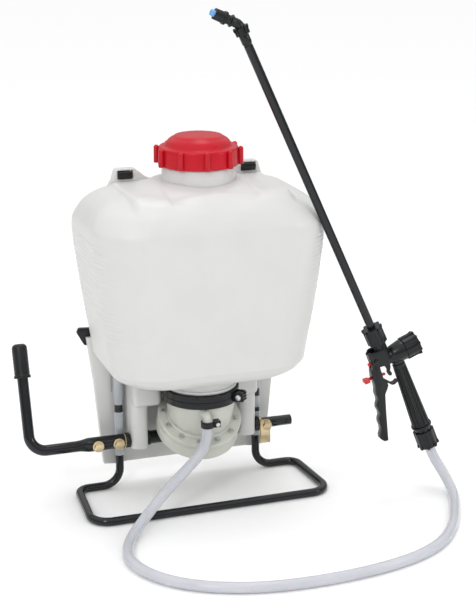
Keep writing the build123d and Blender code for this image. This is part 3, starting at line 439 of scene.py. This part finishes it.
# ------------------------------------------------------------------ tank
TANK_W = 170
TANK_FRONT = -168
TANK_BACK = 22
WIDE_Z = 412
FLOOR_Z = 196
FRONT_CORNER = 68
BACK_CORNER = 24
NECK_Y = -60
NECK_SWELL = 9
SUMP_Y = -62
UPRIGHT_X = 108
GROOVE_HALF = 7.4
GROOVE_TOP = 455
LUG_X = 92.5
RIB_LOW = 262
RIB_HIGH = 408
RIB_PITCH = 6.5
RIB_DEEP = 0.8
FLOOR_W = 145
FLOOR_ROUND = 34
SHOULDER_ROUND = 62
SHOULDER_RISE = 54
RAMP_Z = 470.5
CROWN = 2.2
SKIRT_FRONT = 12
PEDESTAL_IN = 71
PEDESTAL_OUT = 97
PEDESTAL_FRONT = -37
PEDESTAL_BACK = 15
PEDESTAL_LOW = 72.5
PEDESTAL_TOP = 212
PEDESTAL_ROUND = 12
POCKET_IN = 75
POCKET_OUT = 93
HEAD_IN = 54.5
HEAD_OUT = 96.5
HEAD_LOW = 140
BEARING_R = 8.05
LUG_FRONT = -9
LUG_BACK = 3
SLOT_HALF = 11.3


def ease(value, start, end):
    """0 at start, 1 at end, smooth between."""
    t = min(1.0, max(0.0, (value - start) / (end - start)))
    return t * t * (3 - 2 * t)


def tank_keys():
    """(height, half width, front, back) at the heights that shape the tank."""
    keys = []
    for angle in (90, 65, 40, 18, 0):
        pull = FLOOR_ROUND * (1 - cos(radians(angle)))
        keys.append((FLOOR_Z + FLOOR_ROUND * (1 - sin(radians(angle))), FLOOR_W - pull,
                     TANK_FRONT + 6 + pull, TANK_BACK - 0.45 * pull))
    keys += [(320, 159, TANK_FRONT + 2, TANK_BACK), (370, 165.6, TANK_FRONT + 1, TANK_BACK)]
    keys.append((396, 168.6, TANK_FRONT + 0.3, TANK_BACK))
    for angle in (6, 20, 42, 62, 78, 90):
        pull = SHOULDER_ROUND * (1 - cos(radians(angle)))
        keys.append((WIDE_Z + SHOULDER_RISE * sin(radians(angle)), TANK_W - pull,
                     TANK_FRONT + 0.72 * pull, TANK_BACK - 0.35 * pull))
    keys += [(468.5, 90, -112, -6), (470, 70, -100, -14)]
    return keys


def through(keys, steps):
    """Smooth curve through key tuples (Catmull-Rom)."""
    rows = np.array([keys[0], *keys, keys[-1]], float)
    out = []
    for i in range(1, len(rows) - 2):
        for step in range(steps):
            t = step / steps
            a, b, c, d = rows[i - 1:i + 3]
            out.append(0.5 * (2 * b + (c - a) * t + (2 * a - 5 * b + 4 * c - d) * t * t
                              + (3 * b - a - 3 * c + d) * t**3))
    out.append(rows[-1])
    return np.array(out)


def ring_shape(z, half, front, back):
    """Closed plan outline of the tank at a height, with each point's share of ribbing."""
    front_r = min(FRONT_CORNER, 0.42 * (back - front), 0.8 * half)
    points = []

    def run(x0, y0, x1, y1, count):
        for i in range(count):
            t = i / count
            points.append((x0 + (x1 - x0) * t, y0 + (y1 - y0) * t, 0.0, 0.0, 0.0))

    def corner(cx, cy, radius, start, end, count, shares):
        for i in range(count):
            t = i / count
            angle = radians(start + (end - start) * t)
            share = shares[0] + (shares[1] - shares[0]) * ease(t, 0.1, 0.7)
            nx, ny = cos(angle), sin(angle)
            points.append((cx + radius * nx, cy + radius * ny, share, nx, ny))

    run(-(half - front_r), front, half - front_r, front, 64)
    corner(half - front_r, front + front_r, front_r, -90, 0, 26, (0, 1))
    first = len(points)
    run(half, front + front_r, half, back - BACK_CORNER, 22)
    for i in range(first, len(points)):
        x, y = points[i][:2]
        points[i] = (x, y, 1.0, 1.0, 0.0)
    corner(half - BACK_CORNER, back - BACK_CORNER, BACK_CORNER, 0, 90, 10, (1, 0))
    deep = ease(z, GROOVE_TOP + 1, GROOVE_TOP - 1)
    bottom = back + (-GROOVE_HALF - back) * deep
    for side in (1, -1):
        near, far = (half - BACK_CORNER, 0) if side == 1 else (0, -(half - BACK_CORNER))
        outer = min(UPRIGHT_X + GROOVE_HALF, half - BACK_CORNER - 0.2)
        inner = outer - 2 * GROOVE_HALF
        if side == -1:
            outer, inner = -inner, -outer
        run(near, back, outer, back, 8)
        run(outer, back, outer, bottom, 4)
        run(outer, bottom, inner, bottom, 4)
        run(inner, bottom, inner, back, 4)
        run(inner, back, far, back, 8)
    corner(-(half - BACK_CORNER), back - BACK_CORNER, BACK_CORNER, 90, 180, 10, (0, 1))
    first = len(points)
    run(-half, back - BACK_CORNER, -half, front + front_r, 22)
    for i in range(first, len(points)):
        x, y = points[i][:2]
        points[i] = (x, y, 1.0, -1.0, 0.0)
    corner(-(half - front_r), front + front_r, front_r, 180, 270, 26, (1, 0))
    return points


def ramp_height(x, y, z):
    """Height with a terrace forward of each strap lug and a swell round the filler neck."""
    if z < 440:
        return z
    share = ease(abs(abs(x) - LUG_X + 4), 28, 20) * ease(y, -152, -112)
    z += share * (RAMP_Z - z)
    return z + NECK_SWELL * ease(hypot(x, y - NECK_Y), 94, 56)


def crown(x, y, z, front, half):
    """Slight outward swell of the front face."""
    if y > front + 1:
        return 0.0
    return -CROWN * (1 - (x / half) ** 2) * ease(z, FLOOR_Z, 300) * ease(z, 470, 400)


def tank_shell():
    """Closed outer surface of the tank, skinned over its plan outlines."""
    rows = through(tank_keys(), 14)
    ribbed = np.arange(RIB_LOW - 3, RIB_HIGH + 3, RIB_PITCH / 8)
    heights = [z for z in rows[:, 0] if not RIB_LOW - 3 < z < RIB_HIGH + 3] + list(ribbed)
    heights = np.unique(np.round(heights, 3))
    rings = [[z] + [float(np.interp(z, rows[:, 0], rows[:, k])) for k in (1, 2, 3)]
             for z in heights]
    top, bottom = rings[-1], rings[0]

    def shrunk(ring, share, rise):
        z, half, front, back = ring
        middle = (front + back) / 2
        reach = (back - front) / 2
        return [z + rise, half * share, middle - reach * share, middle + reach * share]

    rings = [shrunk(bottom, share, 0) for share in (0.5, 0.8, 0.94)] + rings
    rings += [shrunk(top, share, rise) for share, rise in ((0.95, 0.5), (0.86, 0.8), (0.7, 1.0))]
    points = []
    count = 0
    for z, half, front, back in rings:
        row = ring_shape(z, half, front, back)
        count = len(row)
        wave = 0.5 - 0.5 * cos(tau * (z - RIB_LOW) / RIB_PITCH)
        zone = ease(z, RIB_LOW - 3, RIB_LOW + 12) * ease(z, RIB_HIGH + 1.5, RIB_HIGH)
        for x, y, share, nx, ny in row:
            out = RIB_DEEP * wave * zone * share
            x, y = x + nx * out, y + ny * out
            y += crown(x, y, z, front, half)
            points.append(mm(x, y, ramp_height(x, y, z)))
    faces = [tuple(range(count))[::-1]] + ring_faces(len(rings), count)
    last = (len(rings) - 1) * count
    faces.append(tuple(last + j for j in range(count)))
    return mesh_piece("shell", points, faces, 75)


def cut(piece, tools):
    """Take solids out of a piece."""
    for tool in tools:
        modifier = piece.modifiers.new("cut", "BOOLEAN")
        modifier.operation = "DIFFERENCE"
        modifier.solver = "EXACT"
        modifier.object = tool
    keep_modifiers(piece)
    for tool in tools:
        bpy.data.objects.remove(tool)


def wall(name, outline, y_front, y_back):
    """Panel whose outline is drawn in (x, z), between two depths in millimetres."""
    return prism(name, scaled(outline), ORIGIN, X_AXIS, Z_AXIS, -y_back * MM, -y_front * MM)


def block(name, low, high):
    """Box between two corners in millimetres; its x limits may come in either order."""
    left, right = sorted((low[0], high[0]))
    outline = [(left, low[2]), (right, low[2]), (right, high[2]), (left, high[2])]
    return wall(name, outline, low[1], high[1])


def in_painted_shade(piece):
    """Put a part of the tank that hangs in shade on the darker copy of its white: painted shade."""
    for face in piece.data.polygons:
        face.material_index = 1
    return piece


def back_skirt():
    """Back panel below the tank, with the grooves for the uprights and a shallow recess."""
    half = [(94, 36), (108, 34), (129, 36), (141, 169), (150, 236)]
    skirt = wall("skirt", [(-x, z) for x, z in half[::-1]] + half, SKIRT_FRONT, TANK_BACK)
    grooves = [block("groove", (side * UPRIGHT_X - GROOVE_HALF, -9, 150),
                     (side * UPRIGHT_X + GROOVE_HALF, SKIRT_FRONT + 2, 262)) for side, _ in SIDES]
    recess = wall("recess", [(-96, 60), (-97, 188), (97, 188), (96, 60)], 16, TANK_BACK + 2)
    cut(skirt, grooves + [recess])
    return round_edges(skirt, 0.0015)


def pedestal(side):
    """Hollow leg that carries one end of the shaft, with round front corners."""
    outline = [(side * x, PEDESTAL_BACK) for x in (PEDESTAL_IN, PEDESTAL_OUT)]
    for centre_x, start in ((PEDESTAL_OUT - PEDESTAL_ROUND, 0), (PEDESTAL_IN + PEDESTAL_ROUND, -90)):
        for i in range(9):
            angle = radians(start - 90 * i / 8)
            outline.append((side * (centre_x + PEDESTAL_ROUND * cos(angle)),
                            PEDESTAL_FRONT + PEDESTAL_ROUND + PEDESTAL_ROUND * sin(angle)))
    if side < 0:
        outline.reverse()
    leg = prism("pedestal", scaled(outline), mm(0, 0, PEDESTAL_LOW), X_AXIS, Y_AXIS,
                0, (PEDESTAL_TOP - PEDESTAL_LOW) * MM)
    bearing = turned("bearing", scaled([(0, BEARING_R), (60, BEARING_R)]),
                     mm(50 if side > 0 else -110, SHAFT_Y, SHAFT_Z), X_AXIS, 48)
    pocket = block("pocket", (side * POCKET_IN, -32, 106), (side * POCKET_OUT, 40, 192))
    cut(leg, [bearing, pocket])
    return round_edges(leg, 0.0014)


def pedestal_head(side):
    """Wider block between a pedestal and the tank's floor."""
    head = block("head", (side * HEAD_IN, -45, HEAD_LOW), (side * HEAD_OUT, SKIRT_FRONT, PEDESTAL_TOP + 2))
    return round_edges(head, 0.007, 5)


def strap_lug(side):
    """Upright tab with a slot for the strap's bar, swept down towards the neck."""
    lug = [(-50, 452), (-50, 468), (-42, 470), (-34, 473), (-27, 477.5), (-21, 483), (-13.5, 488.5),
           (12, 488.5), (15, 486), (18.5, 474), (24, 452)]
    outline = [(side * (LUG_X + x), z) for x, z in lug][::side]
    tab = wall("lug", outline, LUG_FRONT, LUG_BACK)
    slot = block("slot", (side * LUG_X - SLOT_HALF, -30, 473.5), (side * LUG_X + SLOT_HALF, 30, 486))
    cut(tab, [slot])
    return round_edges(tab, 0.0018, 3)


def flared(start, base, base_r, flare, rise, shares):
    """Profile of a neck's root: a first point, then a curve that narrows as it leaves the tank."""
    return [start] + [(base + rise * t, base_r + flare * (1 - t) ** 2.4) for t in shares]


def tank():
    """The blow-moulded tank with its back panel, pedestals, lugs and necks."""
    # back panel, pedestals and heads get painted shade, the darker copy of the tank's white
    parts = [tank_shell(), in_painted_shade(back_skirt())]
    for side, _ in SIDES:
        parts += [in_painted_shade(pedestal(side)), in_painted_shade(pedestal_head(side)), strap_lug(side)]
    filler = flared((458, 57.5), 470, 52, 5.5, 14, (0, 0.15, 0.3, 0.5, 0.7, 0.85, 1))
    filler += [(496.5, 52), (498.5, 51), (499, 49), (519.5, 49), (520, 48.5), (520, 46.5),
               (519, 46), (404, 46)]
    parts.append(turned("neck", scaled(filler), mm(0, NECK_Y, 0), Z_AXIS, 128))
    sump = flared((214, 58), 199, 50.5, 9, -12, (0, 0.2, 0.4, 0.6, 0.8, 1))
    sump += [(178.5, 50.5), (178.2, 52.5), (175.2, 52.5), (174.8, 50), (163, 50), (163, 46), (200, 46)]
    parts.append(turned("sump", scaled(sump), mm(0, SUMP_Y, 0), Z_AXIS, 128))
    body = show(join("tank_body", parts), "tank")
    # second slot: painted shade for the parts below the tank
    body.data.materials.append(tank_white_painted_shade)


tank()

# ------------------------------------------------------------------ lid
LID_RIBS = 10
LID_RIB_CIRCLE = 59.2


def lid():
    """Screw lid: ribbed skirt, ledge and a smooth dome."""
    foot = mm(0, NECK_Y, 0)
    profile = [(500.4, 50.6), (500, 51.2), (500, 56.2), (500.6, 56.8), (522, 56)]
    profile += arc((522.5, 52.5), 3.4, 0, 90, 6)
    profile += [(526, 49), (526.2, 47.8), (527.5, 46.6), (531.5, 44.8), (534.8, 42), (537.2, 38.5),
                (539.2, 34.5), (540, 33.8), (540.5, 33), (541.8, 26), (542.7, 17), (543, 8), (543.1, 0)]
    parts = [turned("cap", scaled(profile), foot, Z_AXIS, 160)]
    rib = [(500.5, 0.1), (500.5, 3.6), (501, 4), (521.5, 3.8), *arc((522, 0), 3.8, 0, 90, 7)]
    for index in range(LID_RIBS):
        angle = tau * index / LID_RIBS + radians(12)
        centre = foot + mm(cos(angle), sin(angle), 0) * LID_RIB_CIRCLE
        parts.append(turned("rib", scaled(rib), centre, Z_AXIS, 28))
    show(join("screw_lid", parts), "lid")


lid()

# ------------------------------------------------------------------ frame and sleeves
TUBE_R = 6.0
FOOT_PATH = [
    mm(-UPRIGHT_X, 0, 452), mm(-UPRIGHT_X, 0, TUBE_R), mm(-173, 0, TUBE_R), mm(-181, -126, TUBE_R),
    mm(181, -126, TUBE_R), mm(173, 0, TUBE_R), mm(UPRIGHT_X, 0, TUBE_R), mm(UPRIGHT_X, 0, 452),
]
FOOT_BENDS = [b * MM for b in (26, 18, 27, 27, 18, 26)]
SLEEVES = {"left": ((54, 122), (134, 199)), "right": ((58, 97), (104, 122), (134, 199))}

path = bent_path(FOOT_PATH, FOOT_BENDS, 0.0025)
show(sweep_line("foot_and_uprights", path, [TUBE_R * MM] * len(path)), "frame_tube")

for side, name in SIDES:
    rings = []
    for low, high in SLEEVES[name]:
        profile = [(low, 6.05), (low, 6.7), (low + 0.4, 7.0), (high - 0.4, 7.0), (high, 6.7),
                   (high, 6.05)]
        rings.append(turned("sleeve", scaled(profile), mm(side * UPRIGHT_X, 0, 0), Z_AXIS, 64,
                            closed=True))
    show(join("sleeves_" + name, rings), "tube_sleeve_" + name)

# ------------------------------------------------------------------ clamp under the tank
CLAMP_OUT = Vector((cos(radians(-40)), sin(radians(-40)), 0))


def neck_clamp():
    """Split band with a ridge, and two toothed ears pulled together by a screw."""
    profile = [(153, 50.1), (153, 54.0), (153.8, 54.9), (160.6, 55.0), (161.2, 55.9), (162.8, 55.9),
               (163.4, 55.0), (168.6, 55.0), (169.2, 55.8), (172.4, 55.8), (173, 55.1), (173, 50.1)]

    def seam(distance, radius, angle):
        near = abs((angle - radians(84) + pi) % tau - pi) < radians(0.8)
        return radius - (0.0012 if near and radius > 0.0535 else 0)

    parts = [turned("band", scaled(profile), mm(0, SUMP_Y, 0), Z_AXIS, 360, flute=seam, closed=True)]
    teeth = [(-8, -7), (6.4, -7)]
    for low in (-6.6, -2.2, 2.2):
        teeth += [(6.4, low), (8.2, low + 0.4), (8.2, low + 2.4), (6.4, low + 2.8)]
    teeth += [(6.4, 7), (-8, 7)]
    centre = mm(0, SUMP_Y, 163) + CLAMP_OUT * 0.061
    for low, high in ((-8, -2), (2, 8)):
        ear = prism("ear", scaled(teeth), centre, CLAMP_OUT, Z_AXIS, -high * MM, -low * MM)
        parts.append(round_edges(ear, 0.0005))
    show(join("band_clamp", parts), "neck_clamp")


neck_clamp()

# ------------------------------------------------------------------ pump
FLANGE_AT = mm(0, -52.9, 117.5)
FLANGE_TILT = 61.5
FLANGE_UP = Vector((0, -cos(radians(FLANGE_TILT)), sin(radians(FLANGE_TILT))))
FLANGE_SIDE = FLANGE_UP.cross(X_AXIS)
SCREWS = 12
SCREW_START = 164
SCREW_CIRCLE = 0.0531
BOWL_WALL = 0.003


def bowl_rings():
    """Rings (centre, up, radius) of the bowl, from the tilted flange to the level neck."""
    stations = [
        (FLANGE_AT + FLANGE_UP * 0.001, FLANGE_TILT, 45.5), (mm(0, -59.4, 137.5), 74, 48.5),
        (mm(0, SUMP_Y, 151), 90, 50), (mm(0, SUMP_Y, 162.8), 90, 50),
    ]
    rows = np.array([[*centre, tilt, radius] for centre, tilt, radius in stations])
    rings = []
    for x, y, z, tilt, radius in through(rows, 12):
        up = Vector((0, -cos(radians(tilt)), sin(radians(tilt))))
        rings.append((Vector((x, y, z)), up, radius * MM))
    return rings


def pump_dome():
    """Hollow bowl from the flange up to the clamp, with screw bosses and the outlet spout."""
    steps = 128
    points = []
    outer = bowl_rings()
    rings = outer + [(centre, up, radius - BOWL_WALL) for centre, up, radius in reversed(outer)]
    for centre, up, radius in rings:
        side = up.cross(X_AXIS)
        for k in range(steps):
            a = tau * k / steps
            points.append(centre + (X_AXIS * cos(a) + side * sin(a)) * radius)
    parts = [mesh_piece("bowl", points, ring_faces(len(rings), steps, closed=True))]
    flange = [(-2.4, 60.7), (-2.4, 61.2), (-1.9, 61.6), (6.2, 61.6), (7, 60.9), (7, 49.4), (7.4, 48.9),
              (9.6, 48.6), (10.4, 47.8), (10.6, 46.4), (12.5, 46.0), (13.2, 45.2), (13.2, 44),
              (-2.4, 44)]
    parts.append(turned("flange", scaled(flange), FLANGE_AT, FLANGE_UP, 160, closed=True))
    for index in range(SCREWS):
        a = radians(SCREW_START) + tau * index / SCREWS
        foot = FLANGE_AT + (X_AXIS * cos(a) + FLANGE_SIDE * sin(a)) * SCREW_CIRCLE
        boss = [(6.5, 4.9), (7.9, 4.8), (8.3, 4.4), (8.3, 3.5), (7.2, 3.2), (6.5, 3.2)]
        parts.append(turned("boss", scaled(boss), foot, FLANGE_UP, 32, closed=True))
    spout = [(40, 6.9), (50.2, 6.8), (50.9, 6.3), (50.9, 5.9)]
    parts.append(turned("spout", scaled(spout), mm(-10, SUMP_Y, 146.2), -Y_AXIS, 48))
    show(join("dome", parts), "pump_dome")


pump_dome()

# ------------------------------------------------------------------ lever
ARM_DIR = Vector((0, sin(radians(20)), cos(radians(20))))
LEVER_BEND = mm(-246, SHAFT_Y, SHAFT_Z)
ARM_LENGTH = 155
DENT_FLAT = 0.30
DENT_TALL = 0.06


def lever():
    """Bent tube, swelled into a socket and pressed flat where it narrows again."""
    corners = [mm(-178, SHAFT_Y, SHAFT_Z), LEVER_BEND, LEVER_BEND + ARM_DIR * ARM_LENGTH * MM]
    points = [mm(x, SHAFT_Y, SHAFT_Z) for x in (-106.2, -106.8, -156, -160, -164, -168, -172)]
    radii = [10.1, 10.5, 10.5, 10.2, 9.4, 8.6, 8.15]
    tail = bent_path(corners, [0.024], 0.002)
    points += tail
    radii += [8.0] * len(tail)
    tube = sweep_line("tube", points, [r * MM for r in radii], 48)
    dent = mm(-166, SHAFT_Y, SHAFT_Z)
    for vertex in tube.data.vertices:
        x = abs(vertex.co.x - dent.x)
        share = ease(x, 0.013, 0.002)
        up = vertex.co.z - dent.z
        front = vertex.co.y - dent.y
        if front < 0:
            vertex.co.y = dent.y + front * (1 - DENT_FLAT * share)
        vertex.co.z = dent.z + up * (1 + DENT_TALL * share)
    show(tube, "lever_tube")
    grip = [(108, 8.3), (108, 11.8), (108.6, 12.4), (111.6, 12.4), (112.6, 11.3), (113.4, 11.1)]
    grip += [(113.4 + 2.6 * i, 11.1 + (0.25 if i % 2 else 0)) for i in range(1, 15)]
    grip += arc((151.6, 4.6), 6.5, 0, 90, 8)
    show(turned("arm_grip", scaled(grip), LEVER_BEND, ARM_DIR, 72), "lever_grip")


lever()

# ------------------------------------------------------------------ valve handle
LANCE_FOOT = mm(229.4, LANCE_Y, 262.4)
LANCE_LEAN = radians(24.67)
LANCE_DIR = Vector((-sin(LANCE_LEAN), 0, cos(LANCE_LEAN)))
GRIP_AT = mm(273.6, LANCE_Y, 204.7)
GRIP_LEAN = radians(21.86)
GRIP_DIR = Vector((sin(GRIP_LEAN), 0, -cos(GRIP_LEAN)))
CAP_DIR = Vector((cos(GRIP_LEAN), 0, sin(GRIP_LEAN)))
GRIP_RIBS = 12
FLUTE_DEEP = 0.0017


def on_grip(along, across):
    return GRIP_AT + (GRIP_DIR * along + CAP_DIR * across) * MM


def union_nut(node, origin, along, length, radius, ribs, bore):
    """Nut with wrench ribs that stand up into horns at its open end."""

    def ribbed(distance, r, angle):
        if r < (radius - 2.5) * MM:
            return r
        off = abs((angle * ribs / tau) % 1 - 0.5) * 2
        rise = ease(off, 0.42, 0.30)
        horn = 1.1 * ease(distance, (length - 6) * MM, (length - 2.5) * MM)
        return r + rise * (1.3 + horn) * MM

    body = radius - 1.6
    profile = [(0, bore), (0, body - 0.4), (0.6, body), (1.2, body)]
    profile += [(length * t, body) for t in (0.25, 0.5, 0.7, 0.8, 0.88, 0.94)]
    profile += [(length - 0.6, body), (length, body - 0.5), (length, bore)]
    nut = turned(node + "_ribbed", scaled(profile), origin, along, 192, flute=ribbed)
    show(nut, node)


union_nut("top_nut", LANCE_FOOT - LANCE_DIR * 0.027, LANCE_DIR, 27, 14.8, 8, 6.4)
union_nut("lower_nut", on_grip(119, 0), GRIP_DIR, 28, 16, 8, 7.9)
union_nut("side_cap", on_grip(-15, 14.6), CAP_DIR, 22.4, 17.6, 10, 12.0)
union_nut("lance_tip_nut", LANCE_FOOT + LANCE_DIR * 0.4681, LANCE_DIR, 11, 10.3, 10, 6.9)


def hand_grip():
    """Tapered grip with lengthwise flutes."""

    def fluted(distance, radius, angle):
        off = abs((angle * GRIP_RIBS / tau) % 1 - 0.5) * 2
        ends = ease(distance, 0.0035, 0.008) * ease(distance, 0.1075, 0.104)
        return radius - FLUTE_DEEP * ease(off, 0.34, 0.52) * ends

    profile = [(1.5, 7.2), (1.5, 9.0), (2.2, 9.6)]
    profile += [(u, 9.4 + 4.0 * u / 109) for u in (3.5, 4.5, 6, 8, 30, 60, 90, 104, 105.5, 107.5)]
    profile += [(108.6, 13.2), (109, 12.6), (109, 7.2)]
    show(turned("fluted_grip", scaled(profile), GRIP_AT, GRIP_DIR, 288, flute=fluted), "hand_grip")


hand_grip()
lance = [(-9, 5.2), (-9, 6.1), (451.6, 6.1), (452, 5.8), (452, 5.0)]
show(turned("lance", scaled(lance), LANCE_FOOT, LANCE_DIR, 48), "lance_tube")

# ------------------------------------------------------------------ pieces with eased edges
for node, width in (
    ("crankshaft", 0.5), ("shaft_spacers", 0.5), ("shaft_bushes", 0.6), ("shaft_washers", 0.2),
    ("lever_bolts", 0.6), ("lever_washers", 0.3), ("shaft_bracket", 0.5), ("bracket_bolt", 0.6),
    ("flange_screws", 0.4), ("neck_clamp_screw", 0.5), ("hose_clamp", 0.6), ("hose_clamp_screw", 0.3),
    ("outlet_elbow", 0.5), ("pump_base", 1.0), ("handle_body", 0.7), ("grip_collar", 0.7),
    ("trigger", 1.2), ("trigger_pin", 0.4), ("trigger_latch", 0.5), ("trigger_set_screw", 0.3),
    ("lance_ferrule", 0.4), ("nozzle_elbow", 0.5), ("nozzle_cap", 0.3), ("nozzle_tip", 0.3),
    ("strap_adjuster_left", 0.9), ("strap_adjuster_right", 0.9), ("strap_anchor_left", 1.2),
    ("strap_anchor_right", 1.2), ("strap_webbing_left", 0.4), ("strap_webbing_right", 0.4),
):
    softened(node, width * MM)


# ------------------------------------------------------------------ shoulder pads
PAD_SEAM = 0.034
SEAM_DEEP = 0.0016
PAD_SWELL = 0.004


def shoulder_pad(node):
    """Padded strap section, blown up a little and drawn in at its sewn lines."""
    piece = copy_of(node)
    remesh = piece.modifiers.new("remesh", "REMESH")
    remesh.mode = "VOXEL"
    remesh.voxel_size = 0.004
    keep_modifiers(piece)
    before = np.array([v.co for v in piece.data.vertices])
    blow = piece.modifiers.new("air", "CLOTH")
    blow.settings.use_pressure = True
    blow.settings.uniform_pressure_force = 4
    blow.settings.effector_weights.gravity = 0
    for step in range(1, 21):
        bpy.context.scene.frame_set(step)
    keep_modifiers(piece)
    bpy.context.scene.frame_set(1)
    after = np.array([v.co for v in piece.data.vertices])
    moved = after - before
    length = np.linalg.norm(moved, axis=1, keepdims=True)
    after = before + moved * np.minimum(1.0, PAD_SWELL / np.maximum(length, 1e-9))
    piece.data.vertices.foreach_set("co", after.ravel())
    subdivide = piece.modifiers.new("finer", "SUBSURF")
    subdivide.levels = 1
    keep_modifiers(piece)
    normals = [v.normal.copy() for v in piece.data.vertices]
    for vertex, normal in zip(piece.data.vertices, normals):
        off = abs((vertex.co.z / PAD_SEAM) % 1 - 0.5) * 2 * PAD_SEAM / 2
        vertex.co -= normal * SEAM_DEEP * ease(off, 0.004, 0.0)
    smooth(piece.data, 80)
    show(piece, node)


for _, name in SIDES:
    shoulder_pad("shoulder_pad_" + name)


# ------------------------------------------------------------------ floor and light
FLOOR_HALF = 30


def studio():
    """Pale floor, a sky that is darker at the horizon, and three soft lamps."""
    corners = [(x * FLOOR_HALF, y * FLOOR_HALF, 0) for x, y in ((-1, -1), (1, -1), (1, 1), (-1, 1))]
    floor = mesh_piece("floor", corners, [(0, 1, 2, 3)])
    paper = bpy.data.materials.new("floor_paper")
    paper.use_nodes = True
    shader = paper.node_tree.nodes["Principled BSDF"]
    shader.inputs["Base Color"].default_value = (0.96, 0.96, 0.96, 1)
    shader.inputs["Roughness"].default_value = 0.9
    floor.data.materials.append(paper)
    world = bpy.data.worlds.new("studio")
    bpy.context.scene.world = world
    world.use_nodes = True
    tree = world.node_tree
    sky = tree.nodes["Background"]
    sky.inputs["Color"].default_value = (1, 1, 1, 1)
    place = tree.nodes.new("ShaderNodeTexCoord")
    split = tree.nodes.new("ShaderNodeSeparateXYZ")
    tree.links.new(place.outputs["Generated"], split.inputs["Vector"])
    dome = tree.nodes.new("ShaderNodeMapRange")
    dome.inputs["From Min"].default_value = 0.0
    dome.inputs["From Max"].default_value = 0.8
    dome.inputs["To Min"].default_value = 0.2
    dome.inputs["To Max"].default_value = 1.25
    tree.links.new(split.outputs["Z"], dome.inputs["Value"])
    tree.links.new(dome.outputs["Result"], sky.inputs["Strength"])
    aim = mm(0, -60, 250)
    for name, place, size, power in (
        ("key", (-1.7, -2.4, 2.0), 0.6, 20),
        ("fill", (2.3, -1.9, 1.3), 0.5, 9),
        ("top", (0.3, 0.3, 2.8), 0.8, 8),
    ):
        data = bpy.data.lights.new(name, "AREA")
        data.size = size
        data.energy = power
        lamp = bpy.data.objects.new(name, data)
        lamp.location = place
        lamp.rotation_euler = (aim - Vector(place)).to_track_quat("-Z", "Y").to_euler()
        bpy.context.scene.collection.objects.link(lamp)
    bpy.context.scene.view_settings.view_transform = "Standard"


studio()
